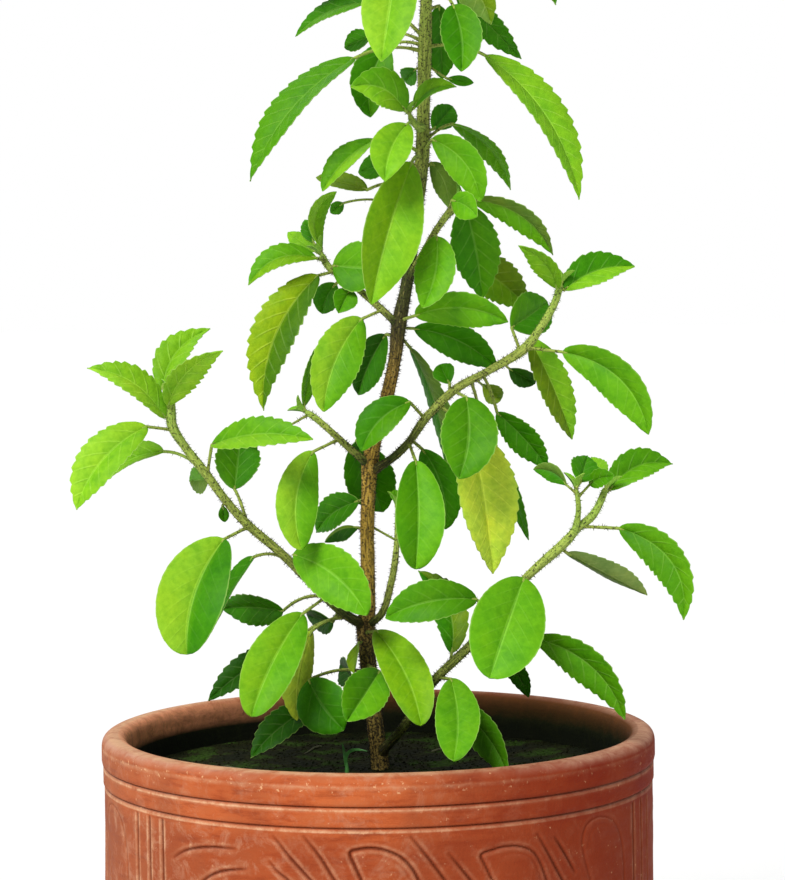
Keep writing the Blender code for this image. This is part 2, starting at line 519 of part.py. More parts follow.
def on_curve(start, middle, end, t):
    """Point and direction of the curve through start, middle (half way) and end."""
    control = middle * 2.0 - (start + end) * 0.5
    point = start * (1 - t) ** 2 + control * (2 * t * (1 - t)) + end * t ** 2
    ahead = (control - start) * (2 * (1 - t)) + (end - control) * (2 * t)
    return point, ahead.normalized()


def blade_stations(length):
    """(place along the blade, share of full half-width) down a toothed edge,
    with more teeth on a longer blade. The blade ends in its tip at place 1."""
    teeth = 3 if length > THREE_TEETH_LENGTH else 2 if length > TWO_TEETH_LENGTH else 1
    bare = max(BARE_SHARE, BARE_LENGTH / length)
    span = (1.0 - bare - BARE_SHARE) / teeth
    stations = []
    for i in range(teeth):
        notch = bare + span * i
        peak = notch + span * TOOTH_PEAK
        first = 1.0 if i == 0 else 1.0 - TOOTH_DEPTH
        for place, flare in ((notch, first), (peak, 1.0 + TOOTH_DEPTH)):
            share = math.sin(math.pi * place ** BLADE_SHIFT) ** BLADE_FULLNESS
            stations.append((place, share * flare))
    stations.append((1.0, 0.0))
    return stations


def leaf_solid(root, base, tip, arch, left, width, fold):
    """One leaf, petiole and toothed blade, as one closed bmesh.

    left points to the blade's left edge, and arch moves the midrib's middle.
    """
    middle = (base + tip) * 0.5 + arch
    length = (tip - base).length
    creased = width >= CREASED_WIDTH
    angle = math.radians(fold)
    rings = []

    def frame_at(ahead):
        side = (left - ahead * left.dot(ahead)).normalized()
        return side, ahead.cross(side)

    def petiole_ring(point, ahead):
        side, face = frame_at(ahead)
        turns = (150, 90, 30, -30, -90, -150) if creased else (135, 45, -45, -135)
        ring = []
        for turn in turns:
            a = math.radians(turn)
            ring.append(point - side * math.cos(a) * PETIOLE_RADIUS
                        + face * math.sin(a) * PETIOLE_RADIUS)
        return ring

    first, ahead = on_curve(base, middle, tip, 0.0)
    run = base - root
    if run.length > LONG_PETIOLE:
        rise = Vector((0.0, 0.0, PETIOLE_ARCH * run.length))
        bend, along = on_curve(root, (root + base) * 0.5 + rise, base, 0.5)
        rings.append(petiole_ring(root, (bend - root).normalized()))
        rings.append(petiole_ring(bend, along))
    else:
        rings.append(petiole_ring(root, run.normalized()))
    rings.append(petiole_ring(first, (ahead + run.normalized()).normalized()))

    half_thick = BLADE_THICKNESS / 2.0
    for place, share in blade_stations(length):
        point, ahead = on_curve(base, middle, tip, place)
        side, face = frame_at(ahead)
        half = max(width / 2.0 * share, TIP_HALF_WIDTH)
        lean = angle if half > TIP_HALF_WIDTH else 0.0
        left_edge = point + (side * math.cos(lean) + face * math.sin(lean)) * half
        right_edge = point + (face * math.sin(lean) - side * math.cos(lean)) * half
        left_up = (face * math.cos(lean) - side * math.sin(lean)) * half_thick
        right_up = (face * math.cos(lean) + side * math.sin(lean)) * half_thick
        mid_up = face * (half_thick / math.cos(lean))
        ring = [left_edge + left_up, point + mid_up, right_edge + right_up,
                right_edge - right_up, point - mid_up, left_edge - left_up]
        if not creased:
            del ring[4], ring[1]
        rings.append(ring)

    bm = bmesh.new()
    loops = [[bm.verts.new(corner) for corner in ring] for ring in rings]
    count = len(loops[0])
    swapped = (1, 4) if creased else ()
    for near_loop, far_loop in zip(loops, loops[1:]):
        for k in range(count):
            a, b = near_loop[k], near_loop[(k + 1) % count]
            c, d = far_loop[(k + 1) % count], far_loop[k]
            if k in swapped:
                bm.faces.new((a, b, d))
                bm.faces.new((b, c, d))
            else:
                bm.faces.new((a, b, c))
                bm.faces.new((a, c, d))
    bm.faces.new(reversed(loops[0]))
    bm.faces.new(loops[-1])
    bmesh.ops.triangulate(bm, faces=[f for f in bm.faces if len(f.verts) > 3])
    return bm


def laid_out_leaf(root, base, tip, width, turn, fold, bow):
    """Leaf from a row of LEAVES, whose face is judged from the eye."""
    start, end = seen(*base), seen(*tip)
    run = (end - start).normalized()
    toward = Vector((0.0, -1.0, 0.0))
    left = toward.cross(run).normalized()
    face = run.cross(left)
    turned_left = left * math.cos(math.radians(turn)) + face * math.sin(math.radians(turn))
    arch = left * bow[0] + toward * bow[1]
    return leaf_solid(seen(*root), start, end, arch, turned_left, width, fold)


def crown_leaves():
    """The pairs of leaves at the top, each pair turned a quarter."""
    leaves = []
    line = STEMS[CROWN_NODE][0]
    for order, (height, length, stalk, rise, droop) in enumerate(CROWN_PAIRS):
        nearest = min(line, key=lambda row: abs(row[1] - height))
        root = seen(*nearest[:3])
        for opposite in (0.0, 180.0):
            heading = math.radians(CROWN_FIRST_HEADING + 90.0 * order + opposite)
            level = Vector((math.cos(heading), math.sin(heading), 0.0))
            lift = Vector((0.0, 0.0, 1.0))
            up_angle = math.radians(rise)
            out = level * math.cos(up_angle) + lift * math.sin(up_angle)
            base = root + out * (stalk + nearest[3]) + lift * stalk * CROWN_STALK_LIFT
            tip = base + out * length - lift * droop
            left = lift.cross(level)
            face = out.cross(left)
            fold = CROWN_FOLD if face.z > 0.0 else -CROWN_FOLD
            arch = face * droop * CROWN_ARCH
            width = length * CROWN_WIDTH_SHARE
            leaves.append((root, base, tip, arch, left, width, fold))
    return leaves


def leaf_meshes(node):
    """Every leaf of a node, as separate closed bmeshes."""
    meshes = [laid_out_leaf(*row) for row in LEAVES[node]]
    if node == CROWN_NODE:
        meshes += [leaf_solid(*spec) for spec in crown_leaves()]
    return meshes


def stem_sides(node):
    return TRUNK_SIDES if node == "main_stem" else BRANCH_SIDES


def build_leafy_stem(node):
    """One stem with its forks and leaves, joined into one body."""
    lines = STEMS[node]
    stem = add_object(node, stem_tube(lines[0], stem_sides(node)), "woody_stem")
    parts = bpy.data.collections.new(node + "_leaves")
    bpy.context.scene.collection.children.link(parts)
    pieces = [(stem_tube(line, BRANCH_SIDES), "woody_stem") for line in lines[1:]]
    pieces += [(bm, "basil_leaf") for bm in leaf_meshes(node)]
    for bm, material_name in pieces:
        leaf = add_object(node + "_leaf", bm, material_name)
        bpy.context.scene.collection.objects.unlink(leaf)
        parts.objects.link(leaf)
    bake_boolean(stem, "UNION", collection=parts)
    if node != "main_stem":
        trunk = stem_tube(STEMS["main_stem"][0], TRUNK_SIDES, SADDLE_CLEARANCE)
        bake_boolean(stem, "DIFFERENCE", cutter=add_object("saddle", trunk, "woody_stem"))
    return stem


def build_seedling():
    """Two grass blades from one root, standing in their own small hole."""
    neck = seen(*SEEDLING_BLADES[0][0])
    foot = Vector((neck.x, neck.y, neck.z - SEEDLING_HOLE_DEPTH + SEEDLING_FOOT_GAP))
    top = neck + Vector((0.0, 0.0, SEEDLING_NECK_RADIUS))
    root = tube([foot, top], [SEEDLING_NECK_RADIUS] * 2, BRANCH_SIDES)
    seedling = add_object("seedling", root, "seedling_green")
    blades = bpy.data.collections.new("seedling_blades")
    bpy.context.scene.collection.children.link(blades)
    for rows in SEEDLING_BLADES:
        start, middle, end = (seen(*row) for row in rows)
        shares = [i / SEEDLING_STEPS for i in range(SEEDLING_STEPS + 1)]
        points = [on_curve(start, middle, end, share)[0] for share in shares]
        radii = [SEEDLING_RADIUS] * SEEDLING_STEPS + [SEEDLING_TIP_RADIUS]
        blade = add_object("seedling_blade", tube(points, radii, BRANCH_SIDES), "seedling_green")
        bpy.context.scene.collection.objects.unlink(blade)
        blades.objects.link(blade)
    bake_boolean(seedling, "UNION", collection=blades)


def main():
    for obj in list(bpy.data.objects):
        bpy.data.objects.remove(obj)
    build_pot()
    build_soil()
    for node in STEMS:
        build_leafy_stem(node)
    build_seedling()


main()
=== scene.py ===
import math
import random

import bpy
import numpy as np
from mathutils import Matrix, Vector, noise


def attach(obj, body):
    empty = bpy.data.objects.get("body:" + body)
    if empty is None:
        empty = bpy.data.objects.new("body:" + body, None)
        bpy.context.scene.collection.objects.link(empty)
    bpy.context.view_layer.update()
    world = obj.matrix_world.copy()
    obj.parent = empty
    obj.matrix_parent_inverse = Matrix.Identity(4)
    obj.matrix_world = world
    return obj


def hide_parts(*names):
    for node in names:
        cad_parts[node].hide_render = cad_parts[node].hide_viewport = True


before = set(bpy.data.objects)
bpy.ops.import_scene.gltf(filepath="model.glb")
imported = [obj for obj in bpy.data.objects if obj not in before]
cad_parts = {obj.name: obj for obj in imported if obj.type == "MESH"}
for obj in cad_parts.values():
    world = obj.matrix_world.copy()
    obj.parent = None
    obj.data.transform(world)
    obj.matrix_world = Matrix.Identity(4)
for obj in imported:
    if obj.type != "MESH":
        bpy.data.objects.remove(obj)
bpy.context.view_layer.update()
print("frame loaded:", len(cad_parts), "nodes")

mm = 0.001
up = np.array([0.0, 0.0, 1.0])
towardEye = np.array([0.0, -1.0, 0.0])

view = {
    "eyeAway": 1000.0,       # from the stem
    "eyeAboveSoil": 176.0,
    "soilLevel": 144.0,
    "depthSpread": 1.3,      # how much deeper the plant is than its first layout
    "focalPixels": 2775.0,
    "frame": (785, 880),
    "downDeg": 3.177,
    "rightDeg": 0.355,
    "rollDeg": -0.6,
    "sensor": 36.0,
    "clipStart": 0.02,       # metres
}


def linear(hexColour):
    channels = [int(hexColour[i:i + 2], 16) / 255 for i in (1, 3, 5)]
    return [c / 12.92 if c <= 0.04045 else ((c + 0.055) / 1.055) ** 2.4 for c in channels] + [1.0]


def setInputs(tree, node, inputs):
    # each value is a plain one, an sRGB colour as hex, a socket, or a node, read at its first output
    for name, value in inputs.items() if isinstance(inputs, dict) else enumerate(inputs):
        if isinstance(value, bpy.types.Node):
            value = value.outputs[0]
        if isinstance(value, bpy.types.NodeSocket):
            tree.links.new(value, node.inputs[name])
        elif isinstance(value, str) and value[0] == "#":
            node.inputs[name].default_value = linear(value)
        else:
            node.inputs[name].default_value = value


def addNode(tree, kind, inputs=(), stops=(), **settings):
    # one node with its settings, its inputs, and the colour stops of a ramp from low to high
    node = tree.nodes.new(kind)
    for name, value in settings.items():
        setattr(node, name, value)
    if stops:
        ramp = node.color_ramp.elements
        ramp[0].position, ramp[1].position = stops[0][0], stops[-1][0]
        for place, _ in stops[1:-1]:
            ramp.new(place)
        for stop, (_, colour) in zip(ramp, stops):
            stop.color = linear(colour)
    setInputs(tree, node, inputs)
    return node


def shareOf(tree, ranges):
    # product of ranges, each a source, what it runs between, and the share at either end of that
    total = None
    for part in ranges:
        share = addNode(tree, "ShaderNodeMapRange", part)
        total = share if total is None else addNode(
            tree, "ShaderNodeMath", [total, share], operation="MULTIPLY")
    return total


def paint(tree, base, coats):
    # Lays each coat over the last. A coat is the ranges of its share, or a node that gives the share,
    # and then a colour, or three factors for the colour under it.
    for ranges, colour in coats:
        share = ranges if isinstance(ranges, bpy.types.Node) else shareOf(tree, ranges)
        if isinstance(colour, tuple):
            colour = addNode(tree, "ShaderNodeVectorMath", [base, colour], operation="MULTIPLY")
        base = addNode(tree, "ShaderNodeMixRGB", [share, base, colour])
    return base


def newMaterial(name, specular, roughness=0.5):
    made = bpy.data.materials.new(name)
    made.use_nodes = True
    shader = made.node_tree.nodes["Principled BSDF"]
    shader.inputs["Specular IOR Level"].default_value = specular
    shader.inputs["Roughness"].default_value = roughness
    return made, made.node_tree, shader


def perMm(size):
    return 1.0 / (size * mm)     # texture scale, in Object coordinates, for a feature of that size


def placeSeen(across, height, near=0.0):
    # a layout point, as the eye in front sees it, set at its depth
    depth = near * view["depthSpread"]
    reach = (view["eyeAway"] - depth) / view["eyeAway"]
    level = view["eyeAboveSoil"] + (height - view["eyeAboveSoil"]) * reach
    return np.array([across * reach, -depth, view["soilLevel"] + level])


def bent(start, middle, end, places):
    # points and directions of the curve through start, middle at half way, and end
    t = np.asarray(places, float)[:, None]
    control = middle * 2.0 - (start + end) * 0.5
    points = start * (1 - t) ** 2 + control * (2 * t * (1 - t)) + end * t ** 2
    ahead = (control - start) * (2 * (1 - t)) + (end - control) * (2 * t)
    return points, unit(ahead)


def unit(vectors):
    return vectors / np.maximum(np.linalg.norm(vectors, axis=-1, keepdims=True), 1e-9)


def smoothStep(before, start, end, after, t):
    # a point of the smooth curve that passes through start and end on its way between the others
    return 0.5 * (2 * start + (end - before) * t + (2 * before - 5 * start + 4 * end - after) * t * t
                  + (3 * start - before - 3 * end + after) * t ** 3)


def addObject(name, data):
    added = bpy.data.objects.new(name, data)
    bpy.context.scene.collection.objects.link(added)
    return added


def addPiece(name, verts, faces, material, replaced=(), smoothBelow=40.0, attributes=None):
    # one finished mesh, from points in millimetres, riding on the root body
    mesh = bpy.data.meshes.new(name)
    mesh.from_pydata((np.asarray(verts) * mm).tolist(), [], faces)
    mesh.materials.append(material)
    for key, values in (attributes or {}).items():
        values = np.asarray(values, np.float32)
        kind, field = ("FLOAT_COLOR", "color") if values.ndim == 2 else ("FLOAT", "value")
        mesh.attributes.new(key, kind, "POINT").data.foreach_set(field, values.ravel())
    mesh.shade_smooth()
    mesh.set_sharp_from_angle(angle=math.radians(smoothBelow))
    piece = addObject(name, mesh)
    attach(piece, "root")
    if replaced:
        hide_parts(*replaced)
    return piece


def growWithNodes(piece, tree, values):
    # runs a Geometry Nodes tree on a piece and keeps what it makes as a plain mesh
    modifier = piece.modifiers.new("grow", "NODES")
    modifier.node_group = tree
    for socket in tree.interface.items_tree:
        if socket.name in values:
            modifier[socket.identifier] = values[socket.name]
    evaluated = piece.evaluated_get(bpy.context.evaluated_depsgraph_get())
    grown = bpy.data.meshes.new_from_object(evaluated)
    piece.modifiers.remove(modifier)
    piece.data = grown


def newTree(name, **inputs):
    # a Geometry Nodes tree from geometry to geometry, with named inputs for its sizes
    tree = bpy.data.node_groups.new(name, "GeometryNodeTree")
    tree.interface.new_socket("Geometry", in_out="INPUT", socket_type="NodeSocketGeometry")
    for label, kind in inputs.items():
        tree.interface.new_socket(label, in_out="INPUT", socket_type="NodeSocket" + kind)
    tree.interface.new_socket("Geometry", in_out="OUTPUT", socket_type="NodeSocketGeometry")
    return tree, addNode(tree, "NodeGroupInput").outputs, addNode(tree, "NodeGroupOutput")


def closeTube(faces, first, sides, rows):
    # faces of a tube of rings numbered from first, and its two ends
    for row in range(rows - 1):
        at = first + row * sides
        for k in range(sides):
            j = (k + 1) % sides
            faces.append((at + k, at + j, at + sides + j, at + sides + k))
    last = first + (rows - 1) * sides
    faces.append(tuple(reversed(range(first, first + sides))))
    faces.append(tuple(range(last, last + sides)))


def joinRings(faces, rings, count):
    # faces between rings of a turned shape, where a ring of one point is a pole
    for lower, upper in zip(rings, rings[1:]):
        for k in range(count):
            j = (k + 1) % count
            corners = (lower[k % len(lower)], lower[j % len(lower)],
                       upper[j % len(upper)], upper[k % len(upper)])
            faces.append(tuple(dict.fromkeys(corners)))


# Camera at the photograph's viewpoint, before anything else

def addCamera():
    tilt, yaw, roll = (math.radians(view[key]) for key in ("downDeg", "rightDeg", "rollDeg"))
    ahead = Vector((math.sin(yaw) * math.cos(tilt), math.cos(yaw) * math.cos(tilt), -math.sin(tilt)))
    right = Vector((math.cos(yaw), -math.sin(yaw), 0.0))
    over = right.cross(ahead)
    turnedRight = right * math.cos(roll) + over * math.sin(roll)
    turnedUp = over * math.cos(roll) - right * math.sin(roll)
    camera = addObject("camera", bpy.data.cameras.new("camera"))
    basis = Matrix((turnedRight, turnedUp, -ahead)).transposed().to_4x4()
    height = view["soilLevel"] + view["eyeAboveSoil"]
    camera.matrix_world = Matrix.Translation((0.0, -view["eyeAway"] * mm, height * mm)) @ basis
    camera.data.sensor_width = view["sensor"]
    camera.data.lens = view["focalPixels"] * view["sensor"] / max(view["frame"])
    camera.data.clip_start = view["clipStart"]
    bpy.context.scene.camera = camera


addCamera()


# Pale floor, white backdrop and soft studio light

studio = {
    "floorColours": ("#fbfbfa", "#ffffff"),
    "floorSize": 40.0,           # metres, so that no edge of it shows
    "floorMottle": 300.0,
    "skyStrength": 0.30,
    "backdropStrength": 1.0,     # what the camera sees behind the plant
    "suns": {
        # strength, softness, elevation and degrees round from the camera to its left
        "key": (3.05, 30.0, 44.0, 32.0),
        "back": (0.42, 40.0, 50.0, 150.0),
    },
}


def addSun(name, strength, soft, elevation, fromLeft):
    lamp = bpy.data.lights.new(name, "SUN")
    lamp.energy = strength
    lamp.angle = math.radians(soft)
    side, rise = math.radians(fromLeft), math.radians(elevation)
    source = Vector((-math.sin(side) * math.cos(rise), -math.cos(side) * math.cos(rise), math.sin(rise)))
    sun = addObject(name, lamp)
    sun.rotation_mode = "QUATERNION"
    sun.rotation_quaternion = source.to_track_quat("Z", "Y")


def setStudio():
    half = studio["floorSize"] / 2
    mesh = bpy.data.meshes.new("floor")
    corners = [(-half, -half, 0.0), (half, -half, 0.0), (half, half, 0.0), (-half, half, 0.0)]
    mesh.from_pydata(corners, [], [(0, 1, 2, 3)])
    floor = addObject("floor", mesh)
    paper, tree, shader = newMaterial("studioPaper", 0.2, 0.9)     # matt white paper, barely mottled
    coords = addNode(tree, "ShaderNodeTexCoord").outputs["Object"]
    mottle = addNode(tree, "ShaderNodeTexNoise", {"Vector": coords, "Scale": perMm(studio["floorMottle"])})
    shade = addNode(tree, "ShaderNodeMixRGB", [mottle.outputs["Fac"], *studio["floorColours"]])
    setInputs(tree, shader, {"Base Color": shade})
    mesh.materials.append(paper)
    for name, settings in studio["suns"].items():
        addSun(name, *settings)
    world = bpy.data.worlds.new("studio")
    world.use_nodes = True
    bpy.context.scene.world = world
    tree = world.node_tree
    tree.nodes.clear()
    sky, wall = (addNode(tree, "ShaderNodeBackground", ["#ffffff", studio[key]])
                 for key in ("skyStrength", "backdropStrength"))
    seen = addNode(tree, "ShaderNodeLightPath").outputs["Is Camera Ray"]
    addNode(tree, "ShaderNodeOutputWorld", [addNode(tree, "ShaderNodeMixShader", [seen, sky, wall])])
    bpy.context.scene.view_settings.view_transform = "Standard"


setStudio()
print("studio set")


# Pot: wheel-thrown terracotta, its carved band cut while the clay was leather-hard

pot = {
    "height": 160.0, "rim": 100.0, "crest": 94.6, "throat": 90.4, "lip": 5.2, "lipSquareness": 0.66,
    "collar": 100.0, "ring": 99.5, "wall": 99.1,
    "foot": 84.0, "footRounding": 15.0, "floor": 11.0, "innerFloor": 80.0, "innerCorner": 9.0,
    "columns": 272,
    "rowSpacing": 2.2,
    "throatRows": (6.5, 8.0, 10.0, 12.0, 14.0, 17.0, 22.0, 60.0, 100.0),   # below the crest
    "ringGrooves": (10.5, 17.6, 87.4, 94.0), "ringsEnd": 98.0,             # below the crest
    "ringDepth": 0.55, "ringHalfWidth": 0.75, "ringChalkAway": 1.15, "ringChalkWidth": 0.42,
    "grooveRows": (-1.6, -0.75, -0.38, 0.0, 0.38, 0.75, 1.15, 1.6, 2.3),
    "bandTop": 19.4, "bandBottom": 84.0, "bandRows": 32, "bandFade": 0.9,
    "fine": 4,                   # how many times finer the mesh is where something is cut
    "flatEnough": 0.055,
    "repeats": 3,                # the carving is cut three times round
    "seam": 58.6,                # degrees left of the front where one repeat meets the next
    "cutDepth": 0.78, "cutWidth": 0.47, "burrHeight": 0.10, "burrAway": 1.25, "burrWidth": 0.5,
    "cutDust": 0.32,             # chalk on the burr of a cut
    "dividerForce": 1.15, "dividerLean": 0.8, "dividerDust": 0.55,
    "petalForce": 1.1, "petalSwell": 0.85, "petalSlope": 2.6,
    "innerInset": 0.22, "innerDrop": 2.4,
    "reliefLimits": (-1.5, 1.1),
    # chalk on the crest and along the lip's outer corner, which is also a painted highlight on those edges
    "crestChalkAndHighlight": 0.8, "crestWidth": 0.45,
    "lipChalkAndHighlight": 0.35, "lipChalkAndHighlightBelow": 3.8, "lipChalkAndHighlightWidth": 0.40,
    "lipDampAndShade": 0.10,             # how damp the clay is from the crest inward, with painted shade that deepens into the mouth
    "dampAndShadeDepth": 12.0,
    "drainHoles": 3, "drainRadius": 5.0, "drainCircle": 38.0,
    "handWobble": 0.22,
}

# One repeat of the carving, as angle in degrees round from the front and drop below the crest.
# Each petal also has how deeply it is cut.
dividers = (-57.2, -52.6, -48.2)
petals = (
    ((
        (-5.7, 25.6), (-4.1, 24.4), (-1.5, 24.0), (1.2, 24.9), (4.0, 27.2), (6.1, 31.0), (7.5, 35.5),
        (9.6, 44.0), (11.4, 54.0), (12.8, 66.0), (13.0, 78.0), (9.2, 71.0), (4.4, 60.0), (0.0, 48.0),
        (-2.8, 37.5), (-4.9, 29.5),
    ), 1.0),
    ((
        (19.8, 27.8), (22.2, 26.5), (24.9, 25.8), (28.2, 26.4), (31.2, 28.9), (33.0, 33.5), (34.4, 39.5),
        (36.4, 48.0), (38.0, 58.0), (39.0, 68.0), (38.8, 78.5), (35.4, 72.0), (30.6, 61.0), (26.2, 50.0),
        (22.8, 39.0), (20.5, 31.0),
    ), 0.75),
    ((
        (43.7, 28.0), (44.6, 23.6), (47.0, 21.3), (50.6, 21.3), (54.2, 23.9), (56.6, 29.0), (57.9, 37.0),
        (58.2, 46.0), (58.4, 58.0), (57.6, 69.0), (55.6, 79.0), (52.4, 70.0), (49.6, 58.0), (46.8, 45.0),
        (44.4, 34.0),
    ), 0.35),
)
strokes = (
    ((-44.6, 32.0), (-41.6, 29.2), (-37.9, 27.4), (-33.6, 26.4), (-29.0, 26.2)),
    ((-38.5, 40.6), (-35.0, 36.3), (-31.6, 34.0), (-26.6, 32.6)),
    ((-41.4, 44.0), (-38.6, 55.0), (-34.0, 66.0), (-28.4, 77.0)),
    ((-26.0, 41.5), (-23.6, 51.0), (-23.2, 63.0), (-26.2, 76.0)),
    ((-20.8, 20.9), (-17.4, 27.8), (-13.5, 34.8), (-8.4, 44.5)),
    ((-14.7, 20.4), (-11.4, 27.4), (-8.8, 34.6), (-5.4, 43.0)),
    ((-21.6, 29.6), (-20.0, 32.7), (-17.2, 36.4), (-10.8, 47.5)),
    ((5.8, 20.1), (9.2, 27.6), (12.4, 35.2), (17.4, 47.0)),
    ((13.3, 26.7), (15.4, 31.2), (18.0, 36.9), (21.8, 46.0)),
    ((32.1, 23.0), (34.8, 30.2), (38.2, 39.6), (42.4, 50.0)),
    ((36.3, 24.8), (39.1, 31.4), (41.6, 38.0)),
    ((-18.6, 46.0), (-14.6, 54.0), (-9.6, 63.0), (-4.0, 72.0)),
    ((-19.2, 57.0), (-15.6, 64.0), (-11.0, 72.0)),
    ((-12.6, 51.0), (-8.2, 59.0), (-3.4, 67.0), (0.8, 74.0)),
    ((14.6, 50.0), (18.6, 59.0), (24.0, 69.0), (27.6, 76.0)),
    ((16.0, 63.0), (19.4, 70.0), (22.6, 76.5)),
    ((41.2, 55.0), (45.0, 64.0), (49.6, 74.0)),
    ((-46.6, 56.0), (-43.0, 64.0), (-38.0, 72.0), (-34.0, 77.0)),
)
innerLines = ((0, 1, 7), (1, 1, 7), (2, 0, 5))      # petal, and the points its second line follows


def ellipse(centre, radii, start, end, steps, square=1.0):
    places = []
    for a in np.radians(np.linspace(start, end, steps + 1)):
        c, s = math.cos(a), math.sin(a)
        places.append((centre[0] + radii[0] * math.copysign(abs(c) ** square, c),
                       centre[1] + radii[1] * math.copysign(abs(s) ** square, s)))
    return places


def strokeDistance(x, y, points):
    # distance in millimetres of each x, y from a run of points, and how far along it is, from 0 to 1
    nearest, along = np.full(x.shape, 1e3), np.zeros(x.shape)
    lengths = [math.dist(a, b) for a, b in zip(points, points[1:])]
    before = 0.0
    for (ax, ay), (bx, by), length in zip(points, points[1:], lengths):
        dx, dy = bx - ax, by - ay
        share = np.clip(((x - ax) * dx + (y - ay) * dy) / (dx * dx + dy * dy), 0.0, 1.0)
        away = np.hypot(x - ax - dx * share, y - ay - dy * share)
        along = np.where(away < nearest, (before + share * length) / sum(lengths), along)
        nearest = np.minimum(nearest, away)
        before += length
    return nearest, along


def within(x, y, points):
    # whether each x, y is inside a closed outline
    inside = np.zeros(x.shape, bool)
    for (ax, ay), (bx, by) in zip(points, points[1:] + points[:1]):
        crosses = (ay > y) != (by > y)
        inside ^= crosses & (x < (bx - ax) * (y - ay) / (by - ay + 1e-9) + ax)
    return inside


def rounded(points, closed=False):
    # a smooth run through a few points
    points = np.array(points)
    padded = (np.vstack([points[-1:], points, points[:2]]) if closed
              else np.vstack([2 * points[0] - points[1], points, 2 * points[-1] - points[-2]]))
    run = [tuple(smoothStep(*corners, t)) for corners in zip(padded, padded[1:], padded[2:], padded[3:])
           for t in (0.0, 0.25, 0.5, 0.75)]
    return run if closed else run + [tuple(points[-1])]


def carving(degrees, drop):
    # height of the carved band over the plain wall, in millimetres, and where chalk clings to it
    span = 360.0 / pot["repeats"]
    arc = math.radians(1.0) * pot["wall"]
    x = ((degrees + pot["seam"]) % span - pot["seam"]) * math.radians(1.0) * pot["wall"]
    high, chalk = np.zeros_like(x), np.zeros_like(x)

    def onWall(points):
        return [(angle * arc, fall) for angle, fall in points]

    def cut(points, strength, taper=False, dust=pot["cutDust"]):
        nonlocal high, chalk
        distance, along = strokeDistance(x, drop, points)
        ends = np.clip(np.sin(math.pi * (0.04 + 0.92 * along)), 0.0, 1.0) ** 0.45 if taper else 1.0
        force = strength * ends
        groove = np.exp(-(distance / (pot["cutWidth"] * (0.75 + 0.25 * strength))) ** 2) * force
        burr = np.exp(-((distance - pot["burrAway"]) / pot["burrWidth"]) ** 2) * force
        high -= pot["cutDepth"] * groove - pot["burrHeight"] * burr
        chalk = np.maximum(chalk, dust * burr)

    for angle in dividers:
        line = [(angle * arc, pot["bandTop"]), (angle * arc + pot["dividerLean"], pot["bandBottom"])]
        cut(line, pot["dividerForce"], dust=pot["dividerDust"])
    for stroke in strokes:
        cut(onWall(rounded(stroke)), 1.0, True)
    for petal, force in petals:
        outline = onWall(rounded(petal, True))
        cut(outline + outline[:1], pot["petalForce"] * force)
        distance, _ = strokeDistance(x, drop, outline + outline[:1])
        crown = 1.0 - np.exp(-np.clip(distance - 0.8, 0.0, None) / pot["petalSlope"])
        high += np.where(within(x, drop, outline), pot["petalSwell"] * crown * force, 0.0)
    for which, first, last in innerLines:
        petal, force = petals[which]
        middle = np.mean(petal, axis=0)
        line = [(angle + (middle[0] - angle) * pot["innerInset"], fall + pot["innerDrop"])
                for angle, fall in petal[first:last]]
        cut(onWall(rounded(line)), 0.5 * force, True)
    fade = (np.clip((drop - pot["bandTop"]) / pot["bandFade"], 0.0, 1.0)
            * np.clip((pot["bandBottom"] - drop) / pot["bandFade"], 0.0, 1.0))
    return np.clip(high, *pot["reliefLimits"]) * fade, chalk * fade


def ringsNear(drop):
    # the turned ring grooves, each a sharp cut with a chalky edge under it
    high, chalk = 0.0, 0.0
    for ring in pot["ringGrooves"]:
        away = drop - ring
        high -= pot["ringDepth"] * max(0.0, 1.0 - abs(away) / pot["ringHalfWidth"])
        chalk = max(chalk, math.exp(-((away - pot["ringChalkAway"]) / pot["ringChalkWidth"]) ** 2))
    return high, chalk


def outsideRadius(drop):
    first, second, third, _ = pot["ringGrooves"]
    return pot["collar"] if drop < first else pot["ring"] if drop < second or drop > third else pot["wall"]


def ringRows(start, end):
    # drops below the crest from start to end, close together at the ring grooves
    rows = [start, end, *np.arange(start, end, pot["rowSpacing"])]
    for ring in pot["ringGrooves"]:
        rows += [ring + step for step in pot["grooveRows"]]
    rows = sorted(row for row in rows if start <= row <= end)
    return [row for row, after in zip(rows, rows[1:] + [1e3]) if after - row > 0.3 or row == end]


# chalk with a painted highlight along the crest
def crestChalkAndHighlight(below):
    return pot["crestChalkAndHighlight"] * math.exp(-(below / pot["crestWidth"]) ** 2)


